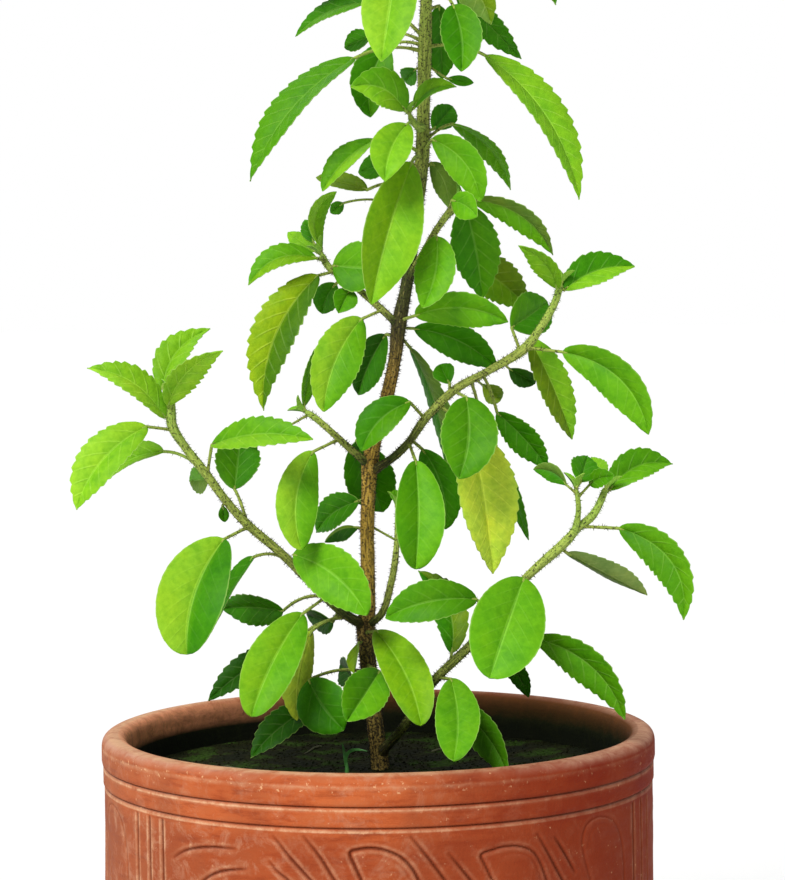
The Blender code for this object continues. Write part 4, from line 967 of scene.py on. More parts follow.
# Leaves of each stem: petiole root, blade base and tip, then blade width, turn, fold and arch of
# the midrib.
leafRows = {
    "main_stem": (
        # low node, over the soil
        ((-3.9, 50.8, 2), (-0.5, 51.2, 9), (15.5, 16.5, 36), 17, -15, 20, (3, 4)),
        ((-3.4, 38.5, 2), (0.6, 36.5, 9), (-11.5, 18.3, 27), 17, 10, 20, (0, 2)),
        ((-3.5, 36.0, 1), (-25.0, 33.6, 7), (-12.5, 15.3, 15), 19, 0, 12, (-1, 2)),
        ((-3.4, 33.0, -1), (-9.0, 33.5, -6), (-13.6, 39.8, -19), 11, -30, 20, (0, 0)),
        ((-2.4, 27.0, -1), (-22.0, 25.0, -5), (-46.5, 5.4, 6), 13, 35, 15, (-2, 2)),
        ((-4.0, 47.5, 0), (-6.9, 47.0, 4), (-8.6, 36.0, 9), 8, 62, 10, (0, 0)),
        # up the bare stretch
        ((-3.3, 88.5, 0), (-6.4, 88.8, -1), (-18.6, 83.8, -1), 10, 58, -12, (-2, 0)),
        ((-3.0, 90.0, 0), (6.6, 84.5, -2), (14.0, 78.0, -5), 7, 0, 0, (2, 0)),
        ((-2.8, 99.5, 0), (-6.2, 98.5, -4), (-21.7, 87.3, -17), 13, 28, 18, (-2, 0)),
        ((-1.8, 114.0, 0), (-6.8, 120.5, -8), (2.2, 94.5, -22), 19, 0, 14, (0, 0)),
        # node below the middle
        ((8.4, 158.5, 0), (4.2, 158.5, -6), (-6.0, 137.0, -17), 14, 20, 15, (-1, 0)),
        ((9.0, 163.5, 0), (15.0, 165.3, 5), (48.2, 162.6, 14), 15, 32, 10, (4, 3)),
        ((9.0, 161.0, 0), (14.5, 160.6, -5), (43.6, 146.3, -12), 14, 15, 18, (3, 0)),
        ((9.0, 158.5, 0), (13.0, 153.5, -9), (26.0, 107.5, -17), 13, 56, -12, (3, 0)),
        # node under the front leaf
        ((17.8, 221.5, -3), (14.0, 219.8, 10), (-1.0, 169.3, 27), 23.5, -22, 22, (-1.3, 4)),
        ((17.8, 223.0, -3), (1.0, 228.5, 3), (-18.0, 210.2, 9), 11, 40, 18, (-2, 2)),
        ((16.2, 211.0, -3), (-2.0, 210.5, -13), (-20.2, 215.2, -21), 9, 42, 14, (-0.5, 0)),
        ((17.6, 219.0, -3), (8.0, 220.5, -7), (-5.0, 217.0, -15), 10, 20, 15, (0, 0)),
        ((15.2, 202.0, -3), (-10.5, 205.9, -11), (-15.2, 202.5, -14), 5, 0, 0, (0, 0)),
        ((18.0, 223.5, -3), (21.6, 228.3, 3), (38.6, 206.0, 8), 14, 18, 15, (4, 2)),
        ((18.2, 226.5, -3), (29.0, 233.8, -8), (49.5, 210.0, -15), 10, 50, 10, (4, 0)),
        ((18.4, 231.0, -3), (22.0, 232.0, -11), (29.0, 240.0, -21), 10, 0, 15, (0, 0)),
        ((17.6, 216.5, -3), (21.0, 220.0, -6), (27.2, 204.0, -5), 9, 0, -15, (2, 0)),
        ((13.4, 237.8, 6), (11.8, 238.8, 9), (-7.6, 247.3, 15), 15, 20, 12, (-4, 0)),
        ((13.3, 238.3, 6), (15.4, 239.9, 7), (30.4, 247.0, 6), 9, -48, 15, (3, 2)),
        ((14.6, 235.2, 4), (12.6, 233.8, 12), (4.5, 213.5, 28), 15, 8, 18, (-2, 3)),
        # node at the top of the drooping pair
        ((18.9, 259.5, -2), (-6.0, 257.5, 6), (-44.0, 214.0, 14), 19, 52, 14, (-5, 4)),
        ((18.9, 261.5, -2), (6.0, 262.0, -7), (-0.5, 236.5, -2), 16, 0, 18, (-3, 0)),
        ((18.9, 264.5, -2), (-1.0, 277.5, -10), (-27.0, 265.5, -18), 11, 50, 12, (-3, 0)),
        ((18.9, 263.0, -2), (0.0, 265.5, -12), (-9.5, 261.5, -17), 9, 20, 10, (0, 0)),
        ((18.9, 254.5, -2), (16.0, 253.5, -5), (11.8, 249.3, -12), 8, 0, 10, (0, 0)),
        ((18.9, 255.5, -2), (27.0, 250.0, -6), (36.6, 248.4, -9), 4, 0, 0, (0, 0)),
        ((19.2, 261.0, -2), (41.0, 258.0, 3), (74.2, 206.3, 9), 19, -45, 14, (6, 4)),
        ((19.8, 274.5, -1), (24.5, 276.0, -6), (25.5, 250.0, -17), 12, 0, 12, (0, 0)),
        # node above the view, whose leaves hang into it
        ((20.9, 291.0, 0), (10.0, 294.5, 10), (3.6, 256.2, 26), 20, 8, 18, (0, 4)),
        ((20.4, 286.0, 0), (29.5, 276.0, 10), (32.2, 252.5, 20), 16, 0, 24, (1.5, 2)),
        ((21.0, 292.0, 0), (27.5, 290.0, 2), (43.0, 269.0, 6), 14, 15, 12, (3, 0)),
        ((20.8, 289.0, 0), (31.0, 281.0, -10), (53.8, 256.7, -18), 11, 30, 12, (0, 0)),
        ((21.2, 295.0, 0), (36.0, 301.0, 0), (66.3, 275.8, 8), 16, -30, 14, (6, 3)),
        ((21.0, 295.5, 0), (4.0, 301.0, -6), (-26.0, 284.0, -10), 17, 30, 14, (-5, 0)),
    ),
    "branch_low_left": (
        ((-73.8, 130.0, 14), (-76.0, 129.5, 15.5), (-103.5, 147.6, 19), 13, 42, 15, (-4.5, 2)),
        ((-73.6, 137.5, 14), (-76.5, 140.0, 11), (-59.0, 161.3, 1), 13, -30, 20, (4, 0)),
        ((-74.2, 132.5, 14), (-74.6, 134.0, 16.5), (-54.6, 153.3, 27), 12, 36, 14, (3.5, 0)),
        ((-73.0, 125.0, 14), (-82.5, 126.3, 17), (-108.2, 96.5, 27), 17, 22, 18, (-4, 5)),
        ((-63.5, 111.5, 12), (-76.5, 117.2, 9), (-99.5, 104.8, 4), 13, 50, 28, (-3, 0)),
        ((-61.5, 108.5, 12), (-60.5, 107.0, 8), (-67.3, 106.5, -3), 10, 0, 10, (0, 0)),
        ((-60.8, 109.0, 12), (-59.0, 119.4, 18), (-22.5, 121.0, 30), 13, -35, 16, (3, 3)),
        ((-46.8, 91.0, 10), (-51.0, 103.2, 3), (-48.5, 124.0, -12), 17, 0, 15, (0, -2)),
        ((-54.8, 99.0, 11), (-55.4, 97.5, 9), (-54.7, 91.5, 6), 4, 0, 0, (0, 0)),
        ((-46.5, 89.5, 10), (-55.0, 85.3, 15), (-69.0, 43.5, 27), 26, 8, 24, (-4, 5)),
        ((-33.0, 78.0, 8), (-44.5, 78.6, 2), (-59.6, 52.6, -4), 12, 64, 20, (-1, 0)),
        ((-28.0, 74.5, 7), (-30.0, 79.3, 11), (-3.8, 57.0, 26), 19, 0, 12, (4, 3)),
        ((-18.5, 64.0, 5), (-27.0, 57.8, 11), (-46.0, 20.5, 32), 19, 8, 16, (-2, 4)),
        ((-18.0, 63.5, 5), (-34.0, 59.0, -9), (-56.5, 60.0, -21), 15, -28, 15, (-1, 0)),
        ((-10.5, 56.7, 3.7), (-23.8, 51.5, 2), (-29.5, 19.0, 4), 14, -35, -15, (-2, 0)),
        ((-9.5, 56.2, 3.1), (-33.0, 45.0, -12), (-61.5, 26.5, -7), 12, 30, 15, (-2, 2)),
        ((-12.0, 58.0, 4.3), (-16.0, 54.8, -7), (-25.5, 57.5, -19), 12, -35, 20, (0, 0)),
    ),
    "branch_low_right": (
        ((21.5, 34.0, 20), (26.5, 33.4, 26), (27.0, 3.4, 54), 16, 5, 14, (2, 2)),
        ((17.0, 28.0, 17), (26.5, 24.0, 20), (46.8, -2.2, 36), 13, 22, 14, (3, 0)),
        ((26.5, 39.5, 22), (26.8, 43.0, 17), (15.0, 73.0, 6), 13, 10, 15, (-5, 0)),
        ((42.5, 56.5, 28), (36.0, 62.3, 31), (3.0, 56.0, 32), 15, 20, 15, (-3, 4)),
        ((53.5, 69.5, 27), (53.3, 69.8, 31), (40.6, 33.5, 50), 26.5, 0, 14, (-0.5, 3)),
        ((37.0, 49.5, 26), (43.0, 46.0, 22), (54.5, 26.5, 12), 8, 30, 0, (1, 0)),
        ((46.0, 60.5, 28), (57.0, 48.0, 29), (89.5, 18.0, 34), 15, 30, 14, (6, 3)),
        ((66.5, 81.0, 26), (69.0, 78.8, 22), (97.8, 63.2, 8), 12, 52, -22, (0, 0)),
        ((74.0, 88.5, 25), (88.0, 87.6, 27), (111.0, 54.0, 36), 15, 28, 18, (8, 4)),
        ((72.3, 102.5, 28), (74.0, 104.5, 28), (76.5, 114.0, 16), 11, 0, 15, (0, 0)),
        ((72.4, 100.5, 27.8), (69.0, 103.5, 29), (57.0, 109.3, 24), 7, -25, 0, (-2, 0)),
        ((73.4, 99.5, 27.6), (77.3, 103.6, 25), (86.4, 106.4, 32), 7, -20, 0, (1, 0)),
        ((83.0, 101.0, 23.3), (84.6, 101.6, 21), (107.3, 110.7, 12), 13, -30, 20, (4, 0)),
        ((83.2, 102.3, 23), (82.5, 106.5, 17), (78.0, 113.5, 6), 7, 0, 0, (0, 0)),
    ),
    "branch_mid_left": (
        ((-13.0, 121.0, 5), (-22.5, 116.6, 12), (-27.0, 81.2, 22), 16, -20, 10, (-4, 3)),
        ((-25.2, 131.0, 6), (-25.8, 133.0, 5), (-19.0, 156.0, 0), 9, 55, 10, (1, 0)),
        ((-24.0, 130.0, 6), (-31.0, 126.0, 1), (-49.0, 123.5, -5), 7, 0, 0, (0, 0)),
    ),
    "branch_mid_right": (
        ((18.0, 128.0, 5), (12.5, 134.2, 10), (-5.0, 116.6, 14), 14, 25, 15, (-3, 2)),
        ((12.0, 119.5, 4), (14.5, 112.8, 10), (14.0, 73.6, 22), 19, -10, 20, (1, 3)),
        ((13.0, 120.5, 4), (17.0, 117.0, -2), (25.0, 88.0, -7), 15, 20, 12, (3, 0)),
        ((28.5, 138.0, 5), (33.0, 135.5, 13), (30.0, 106.2, 26), 21, 0, 16, (2, 3)),
        ((23.0, 133.0, 5), (34.0, 125.0, 5), (42.0, 71.6, 10), 25, -28, 18, (1, 3)),
        ((38.5, 144.0, 4), (44.0, 130.0, -6), (62.5, 109.2, -12), 12, 22, 14, (1, 0)),
        ((34.5, 141.5, 4), (38.5, 124.0, -11), (55.0, 83.7, -13), 9, 50, 0, (1, 0)),
        ((27.0, 136.8, 5), (27.0, 140.5, 1), (23.5, 147.5, -4), 9, 0, 10, (0, 0)),
        ((36.0, 142.3, 4), (39.0, 140.0, -6), (45.2, 134.3, -14), 8, 0, 10, (0, 0)),
        ((46.0, 148.0, 3), (48.5, 145.8, -1), (57.8, 140.3, -7), 8, 20, 10, (0, 0)),
        ((53.8, 152.5, 3), (56.0, 156.5, -4), (71.0, 120.0, -9), 14, -25, 15, (1, 2)),
        ((54.6, 153.3, 3), (68.0, 151.6, 6), (98.6, 121.5, 15), 17, 30, 18, (7, 4)),
        ((52.6, 151.8, 3), (49.5, 160.5, -4), (62.5, 169.5, -20), 17, 0, 15, (0, 0)),
        ((67.2, 174.5, 0), (66.0, 174.5, 3), (52.2, 190.0, 10), 10, -42, 14, (-2.5, 2)),
        ((67.3, 174.8, 0), (68.6, 173.8, 0), (94.0, 182.0, -6), 14, -28, 22, (3, 0)),
    ),
    "branch_upper_left": (
        ((-18.8, 188.0, -6), (-18.6, 190.0, -6), (-13.0, 210.0, -9), 9, 45, 10, (5, 0)),
        ((-18.2, 187.0, -5.8), (-21.0, 188.8, -11), (-30.6, 195.6, -19), 7, 20, 0, (0, 0)),
        ((-17.2, 185.3, -5.4), (-20.5, 186.2, 0), (-45.0, 176.8, 4), 11, 38, 15, (-5, 2)),
        ((-14.0, 181.5, -5), (-20.0, 180.0, -1), (-40.2, 131.6, 7), 18, 18, 20, (-6, 4)),
        ((-14.8, 182.2, -4.8), (-14.5, 183.4, -1), (3.0, 182.0, 3), 19, -10, 12, (0, 0)),
        ((-18.9, 188.2, -6), (-21.5, 192.0, -13), (-24.5, 200.0, -21), 6, 0, 0, (0, 0)),
        ((-11.0, 179.5, -4), (-13.5, 177.0, -7), (-18.6, 166.3, -13), 10, 10, 10, (-1, 0)),
        ((-7.5, 176.5, -3), (-8.5, 175.0, 0), (-12.8, 166.5, 5), 10, 0, 10, (0, 0)),
        ((3.0, 167.5, 1), (-4.5, 164.2, 6), (-18.5, 131.0, 19), 18, -10, 16, (-3, 4)),
    ),
    "branch_upper_right": (
        ((22.0, 194.5, 4), (22.8, 193.5, 9), (17.5, 168.0, 19), 15, 10, 16, (2, 2)),
        ((25.0, 199.3, 5), (33.0, 205.0, -2), (39.0, 171.0, -7), 18, 0, 12, (1, 0)),
        ((19.0, 189.5, 3), (30.0, 186.0, -10), (56.0, 167.0, -24), 16, 0, 12, (2, 0)),
        ((27.0, 202.0, 5), (28.5, 206.5, 10), (37.5, 200.5, 18), 10, 15, 10, (1, 0)),
        ((29.5, 205.8, 5), (36.0, 206.5, 3), (64.6, 186.5, 0), 12, 42, 14, (5, 2)),
    ),
    "centre_shoot": (
        ((7.6, 96.5, 5), (7.6, 98.0, 5), (6.8, 102.5, 3), 4, 0, 0, (0, 0)),
        ((7.5, 92.0, 5.5), (9.5, 93.5, 1), (19.0, 92.0, -4), 7, 0, 0, (1, 0)),
    ),
}

# Look of each leaf, in the same order: green of its left half, green of its right half, and how
# toothed and quilted it is, 0 to 3, or 4 if it is smooth with a round tip. The greens also hold painted
# light and shade: darker for leaves deep in the plant, paler for leaves and halves that the lamps leave in
# shade.
leafLooks = {
    "main_stem": (
        "ww4 gm1 dd1 kk2 kk2 oo1 ko1 dd1 dd2 dd1 dk1 gg1 dd1 ud2 bw0 bg1 oo1 dd1 dd2 gg1 gg2 "
        "dd1 uu1 bg2 bg1 bb0 mm3 md1 md2 kd2 dd2 dd0 bb3 dd1 bp0 md1 ou2 dd2 dm2 mm2"
    ),
    "branch_low_left": "pb3 bb3 pp3 bp2 bb2 ug2 gb2 md2 dd0 dp4 dd1 gg1 gb4 dd2 qq1 kk2 kk2",
    "branch_low_right": "gg4 mm1 do2 mm1 gg4 kk1 mm2 hu1 gm2 dd2 du1 mm2 mg2 bb2",
    "branch_mid_left": "gp4 gg1 dd1",
    "branch_mid_right": "md1 gm4 dd1 mm1 qq2 dd2 dd1 dd1 oy1 kk1 bo2 gg1 md1 bb2 db2",
    "branch_upper_left": "pb1 bb1 wg2 er3 gm1 dd2 dd1 mm1 gp1",
    "branch_upper_right": "gg1 md2 ow2 gg1 ug2",
    "centre_shoot": "gg0 dd1",
}

crown = {
    # height, blade length, petiole length, rise and droop of each pair, a quarter turn apart
    "pairs": ((322.0, 43.0, 10.0, 8.0, 9.0), (350.0, 35.0, 7.0, 24.0, 6.0),
              (373.0, 26.0, 4.0, 44.0, 3.0), (390.0, 16.0, 1.5, 66.0, 1.0)),
    "firstHeading": 62.0, "widthShare": 0.44, "fold": 18.0, "stalkLift": 0.25, "arch": 0.5,
    "looks": ("mg2", "gm2", "gg2", "gb2", "gb2", "bg2", "pb2", "bp2"),
}


def mixDirections(first, second, degrees):
    # a direction turned from the first toward the second
    return first * math.cos(math.radians(degrees)) + second * math.sin(math.radians(degrees))


def leafSpecs(node):
    # root, base, tip, arch, left, width, fold and look of every leaf of a stem
    specs = []
    for row, look in zip(leafRows[node], leafLooks[node].split()):
        root, base, tip, width, turn, fold, bow = row
        start, end = placeSeen(*base), placeSeen(*tip)
        run = unit(end - start)
        left = unit(np.cross(towardEye, run))
        turned = mixDirections(left, np.cross(run, left), turn)
        arch = left * bow[0] + towardEye * bow[1]
        specs.append((placeSeen(*root), start, end, arch, turned, width, fold, look))
    if node != "main_stem":
        return specs
    looks = iter(crown["looks"])
    for order, (height, length, stalk, rise, droop) in enumerate(crown["pairs"]):
        nearest = min(stemLines[node][0], key=lambda row: abs(row[1] - height))
        root = placeSeen(*nearest[:3])
        for opposite in (0, 1):
            heading = math.radians(crown["firstHeading"] + 90.0 * order + 180.0 * opposite)
            level = np.array([math.cos(heading), math.sin(heading), 0.0])
            out = mixDirections(level, up, rise)
            base = root + out * (stalk + nearest[3]) + up * stalk * crown["stalkLift"]
            tip = base + out * length - up * droop
            left = np.cross(up, level)
            face = np.cross(out, left)
            fold = crown["fold"] if face[2] > 0.0 else -crown["fold"]
            specs.append((root, base, tip, face * droop * crown["arch"], left,
                          length * crown["widthShare"], fold, next(looks)))
    return specs


def budSpecs(node):
    # folded leaflets in crossed pairs at each growing tip
    specs = []
    for line in stemLines[node]:
        before, end = placeSeen(*line[-2][:3]), placeSeen(*line[-1][:3])
        ahead = unit(end - before)
        side = unit(np.cross(ahead, towardEye))
        other = np.cross(side, ahead)
        for order, (length, lean) in enumerate(bud["pairs"]):
            for way in (1.0, -1.0):
                out = mixDirections(side, other, bud["firstTurn"] + 90.0 * order) * way
                base = end - ahead * bud["sunk"] + out * 0.3
                tip = base + mixDirections(ahead, out, lean) * length
                specs.append((
                    end - ahead * 2.0, base, tip, out * -0.08 * length, unit(np.cross(ahead, out)),
                    length * bud["widthShare"], bud["fold"], bud["looks"][order]))
    return specs


def smoothRun(rows, step):
    # points and radii through a centre line, rounded at its bends
    points = np.array([placeSeen(*row[:3]) for row in rows])
    radii = np.array([row[3] for row in rows])
    padded = np.vstack([2 * points[0] - points[1], points, 2 * points[-1] - points[-2]])
    run, widths = [], []
    for i in range(len(points) - 1):
        count = max(2, int(np.linalg.norm(points[i + 1] - points[i]) / step))
        for t in np.arange(count) / count:
            run.append(smoothStep(*padded[i:i + 4], t))
            ease = t * t * (3 - 2 * t)
            widths.append(radii[i] * (1 - ease) + radii[i + 1] * ease)
    return np.array(run + [points[-1]]), np.array(widths + [radii[-1]])


def petioleRun(root, base, ahead):
    # from inside the stem to just inside the blade, arched if it is long
    length = np.linalg.norm(base - root)
    rise = up * stemFinish["petioleArch"] * length if length > stemFinish["longPetiole"] else up * 0.0
    count = max(3, int(length / stemFinish["petioleStep"]))
    points, _ = bent(root, (root + base) * 0.5 + rise, base, np.linspace(0.0, 1.0, count + 1))
    return np.vstack([points, base + ahead * 0.8, base + ahead * 2.0])


def stemTree(bark, bristle):
    # a tube along each line, ribbed with bark fibres and set with short stiff hairs
    sizes = ("Fibre height", "Fibre spacing", "Knob height", "Knob spacing", "Hair length", "Hair radius")
    tree, given, end = newTree(
        "hairyStem", Sides="Int", Seed="Int", Hairs="Float", **dict.fromkeys(sizes, "Float"))
    thickness, age, along, knobby, hairy = (
        addNode(tree, "GeometryNodeInputNamedAttribute", {"Name": name}, data_type="FLOAT")
        for name in ("thickness", "age", "along", "knobby", "hairy"))
    rim = addNode(tree, "GeometryNodeInputNamedAttribute", {"Name": "rim"}, data_type="FLOAT_VECTOR")
    position = addNode(tree, "GeometryNodeInputPosition")
    # the tube, which remembers where each point is on its round
    ring = addNode(tree, "GeometryNodeCurvePrimitiveCircle", {"Resolution": given["Sides"], "Radius": 1.0})
    marked = addNode(tree, "GeometryNodeStoreNamedAttribute", {
        "Geometry": ring, "Name": "rim", "Value": position}, data_type="FLOAT_VECTOR", domain="POINT")
    lines = addNode(tree, "GeometryNodeMeshToCurve", [given["Geometry"]])
    tube = addNode(tree, "GeometryNodeCurveToMesh", {
        "Curve": lines, "Profile Curve": marked, "Scale": thickness, "Fill Caps": True})
    # long ridges of fibre, lower toward the young end, and round knobs
    outline = addNode(tree, "ShaderNodeVectorMath", {0: rim, "Scale": thickness}, operation="SCALE")
    drawn = addNode(tree, "ShaderNodeCombineXYZ", {
        "Z": addNode(tree, "ShaderNodeMath", [along, 0.09], operation="MULTIPLY")})
    where = addNode(tree, "ShaderNodeVectorMath", [outline, drawn], operation="ADD")
    woody = addNode(tree, "ShaderNodeMath", [1.15, age], operation="SUBTRACT")
    heights = []
    for name, place, detail, rough, middle, share in (
            ("Fibre", where, 2.0, 0.5, 0.5, woody), ("Knob", position, 3.0, 0.65, 0.46, knobby)):
        scale = addNode(tree, "ShaderNodeMath", [1.0, given[name + " spacing"]], operation="DIVIDE")
        pattern = addNode(tree, "ShaderNodeTexNoise", {
            "Vector": place, "Scale": scale, "Detail": detail, "Roughness": rough}).outputs["Fac"]
        waves = addNode(tree, "ShaderNodeMath", [pattern, middle], operation="SUBTRACT")
        full = addNode(tree, "ShaderNodeMath", [given[name + " height"], share], operation="MULTIPLY")
        heights.append(addNode(tree, "ShaderNodeMath", [waves, full], operation="MULTIPLY"))
    both = addNode(tree, "ShaderNodeMath", heights, operation="ADD")
    rise = addNode(tree, "ShaderNodeMath", [both, 2.0], operation="MULTIPLY")
    push = addNode(tree, "ShaderNodeVectorMath", {
        0: addNode(tree, "GeometryNodeInputNormal"), "Scale": rise}, operation="SCALE")
    ribbed = addNode(tree, "GeometryNodeSetPosition", {"Geometry": tube, "Offset": push})
    smooth = addNode(tree, "GeometryNodeSetShadeSmooth", {"Geometry": ribbed})
    barked = addNode(tree, "GeometryNodeSetMaterial", {"Geometry": smooth, "Material": bark})
    # hairs of uneven length that lean every way
    spread = addNode(tree, "GeometryNodeDistributePointsOnFaces", {
        "Mesh": ribbed, "Seed": given["Seed"],
        "Density": addNode(tree, "ShaderNodeMath", [given["Hairs"], hairy], operation="MULTIPLY")})
    spike = addNode(tree, "GeometryNodeMeshCone", {
        "Vertices": 3, "Radius Top": 0.0, "Radius Bottom": given["Hair radius"],
        "Depth": given["Hair length"]}, fill_type="NONE").outputs["Mesh"]
    lean = addNode(tree, "FunctionNodeRandomValue", [(-0.6, -0.6, 0.0), (0.6, 0.6, 6.28)],
                   data_type="FLOAT_VECTOR")
    tilted = addNode(tree, "FunctionNodeRotateRotation", {
        "Rotation": spread.outputs["Rotation"], "Rotate By": lean}, rotation_space="LOCAL")
    size = addNode(tree, "FunctionNodeRandomValue", {2: 0.45, 3: 1.25}, data_type="FLOAT").outputs[1]
    placed = addNode(tree, "GeometryNodeInstanceOnPoints", {
        "Points": spread.outputs["Points"], "Instance": spike, "Rotation": tilted, "Scale": size})
    solid = addNode(tree, "GeometryNodeRealizeInstances", [placed])
    haired = addNode(tree, "GeometryNodeSetMaterial", {"Geometry": solid, "Material": bristle})
    joined = addNode(tree, "GeometryNodeJoinGeometry", [haired])
    setInputs(tree, joined, [barked])
    setInputs(tree, end, [joined])
    return tree


def stemSkin():
    # Bark and green stem of one plant: fibrous grey-brown cork low down, olive with brown streaks
    # higher up and tender green at the tips. The age attribute runs from 0, old, to 1, young.
    skin, tree, shader = newMaterial("stemBark", 0.35, 0.75)
    age, along, knobby = (addNode(tree, "ShaderNodeAttribute", attribute_name=name).outputs["Fac"]
                          for name in ("age", "along", "knobby"))
    rim = addNode(tree, "ShaderNodeAttribute", attribute_name="rim").outputs["Vector"]
    drawn = addNode(tree, "ShaderNodeCombineXYZ", {
        "Z": addNode(tree, "ShaderNodeMath", [along, 110.0], operation="MULTIPLY")})
    where = addNode(tree, "ShaderNodeVectorMath", [rim, (2.4, 2.4, 2.4), drawn], operation="MULTIPLY_ADD")
    coords = addNode(tree, "ShaderNodeTexCoord").outputs["Object"]
    streaks, specks = (
        addNode(tree, "ShaderNodeTexNoise", {
            "Vector": place, "Scale": scale, "Detail": detail, "Roughness": rough}).outputs["Fac"]
        for place, scale, detail, rough in ((where, 1.6, 5.0, 0.7), (coords, perMm(0.8), 3.0, 0.5)))
    crusty = addNode(tree, "ShaderNodeMath", [knobby, 0.11, specks], operation="MULTIPLY_ADD")
    # the dark stops at 0.32 and 0.37 are painted shade, where the leaves of the middle nodes shade the stem
    # and the branch bases
    tone = addNode(tree, "ShaderNodeValToRGB", [age], [
        (0.0, "#746e2a"), (0.07, "#b8984e"), (0.18, "#d2ac42"), (0.26, "#b08a34"), (0.32, "#4a4718"),
        (0.37, "#3e5014"), (0.48, "#a0b04a"), (0.65, "#acc252"), (0.85, "#a2c24c"), (1.0, "#9cc44e")])
    spotted = paint(tree, tone, [
        ([(streaks, 0.46, 0.62, 0.0, 0.88), (age, 0.30, 0.95, 1.0, 0.2)], "#2c1f0b"),
        ([(streaks, 0.44, 0.3, 0.0, 0.7)], "#c8b068"),
        ([(crusty, 0.57, 0.65, 0.0, 0.85)], "#1d1809")])
    bump = addNode(tree, "ShaderNodeBump", {"Height": streaks, "Strength": 0.9, "Distance": 0.5 * mm})
    setInputs(tree, shader, {"Base Color": spotted, "Normal": bump})
    return skin


def stemBristle():
    # Short stiff hairs, dark at the old stem and pale on the young growth.
    hair, tree, shader = newMaterial("stemBristle", 0.3, 0.7)
    age = addNode(tree, "ShaderNodeAttribute", attribute_name="age").outputs["Fac"]
    tone = addNode(tree, "ShaderNodeValToRGB", [age], [
        (0.0, "#1e1a0a"), (0.55, "#2f3013"), (1.0, "#8fae5c")])
    setInputs(tree, shader, {"Base Color": tone})
    return hair


# How old the wood is, from 0, old bark, to 1, tender green, and how knobby the main stem is, by the
# height over the soil. For a branch it is the age by the share of its length.
stemProfile = {
    "mainAge": ([-38, 8, 44, 58, 66, 130, 150, 200, 260, 300, 391],
                [0.05, 0.05, 0.02, 0.12, 0.2, 0.24, 0.3, 0.4, 0.55, 0.66, 1.0]),
    "branchAge": ([0, 0.15, 0.6, 0.85, 1.0], [0.3, 0.42, 0.55, 0.75, 0.95]),
    "twigAge": 0.85,
    "mainKnobs": ([-10, 14, 26, 36, 42, 54, 62, 90, 96, 112, 124, 150, 250],
                  [0.5, 0.7, 0.2, 0.4, 1.0, 1.0, 0.15, 0.15, 0.35, 0.6, 0.15, 0.3, 0.12]),
    "otherKnobs": 0.12,
    "collarSwell": 0.35, "collarLength": 3.0,
}


def alongRun(points):
    # length of a run up to each of its points
    return np.concatenate([[0.0], np.cumsum(np.linalg.norm(np.diff(points, axis=0), axis=1))])


def growStem(node, tree, specs):
    verts, edges = [], []
    wood = {"thickness": [], "age": [], "along": [], "hairy": [], "knobby": []}

    def addLine(points, radii, ages, hair, knobs):
        first = len(verts)
        verts.extend(points.tolist())
        edges.extend((first + i, first + i + 1) for i in range(len(points) - 1))
        along = alongRun(points) * mm + first * 0.01
        for key, values in zip(wood, (np.asarray(radii) * mm, ages, along, hair, knobs)):
            wood[key].extend(values)

    for order, rows in enumerate(stemLines[node]):
        points, radii = smoothRun(rows, stemFinish["step"])
        away = np.arange(len(points)) * stemFinish["step"]
        collar = 1.0 + stemProfile["collarSwell"] * np.exp(-(away / stemProfile["collarLength"]) ** 2)
        ages = np.interp(np.linspace(0.0, 1.0, len(points)), *stemProfile["branchAge"])
        knobs = np.full(len(points), stemProfile["otherKnobs"])
        if order > 0:
            ages = np.full(len(points), stemProfile["twigAge"])
        elif node == "main_stem":
            heights = points[:, 2] - view["soilLevel"]
            ages = np.interp(heights, *stemProfile["mainAge"])
            knobs = np.interp(heights, *stemProfile["mainKnobs"])
            collar[:] = 1.0
        left = alongRun(points[::-1])[::-1] / stemFinish["tipRounding"]
        dome = np.sqrt(np.clip(1.0 - (1.0 - np.clip(left, 0.0, 1.0)) ** 2, 0.03, 1.0))
        addLine(points, radii * collar * dome, ages, 0.6 + 0.9 * knobs, knobs)
    for root, base, tip, arch, left, width, fold, look in specs:
        _, ahead = bent(base, (base + tip) * 0.5 + arch, tip, [0.0])
        points = petioleRun(root, base, ahead[0])
        share = np.linspace(0.0, 1.0, len(points))
        size = stemFinish["petioleRadius"] * (0.75 if width < 9 else 1.0)
        radii = size * (1.35 - 0.45 * np.minimum(share * 4, 1.0) + 0.05 * share)
        radii[-1] *= 0.6
        young = look[0] in "bp" and width < 16
        ages = np.interp(share, [0.0, 1.0], [0.8, 0.95] if young else [0.5, 0.82])
        addLine(points, radii, ages, 0.45 * (1.0 - share ** 3), np.zeros(len(points)))
    mesh = bpy.data.meshes.new(node + "_wood")
    mesh.from_pydata((np.array(verts) * mm).tolist(), edges, [])
    for key, values in wood.items():
        mesh.attributes.new(key, "FLOAT", "POINT").data.foreach_set("value", np.array(values, np.float32))
    piece = addObject(node + "_wood", mesh)
    growWithNodes(piece, tree, {
        "Sides": stemFinish["sides" if node == "main_stem" else "branchSides"],
        "Fibre height": stemFinish["fibreHeight"] * mm, "Fibre spacing": stemFinish["fibreSpacing"] * mm,
        "Knob height": stemFinish["knobHeight"] * mm, "Knob spacing": stemFinish["knobSpacing"] * mm,
        "Hair length": stemFinish["hairLength"] * mm, "Hair radius": stemFinish["hairRadius"] * mm,
        "Hairs": stemFinish["hairsPerSquareMetre"], "Seed": stemFinish["seed"]})
    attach(piece, "root")
    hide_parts(node)
    return piece


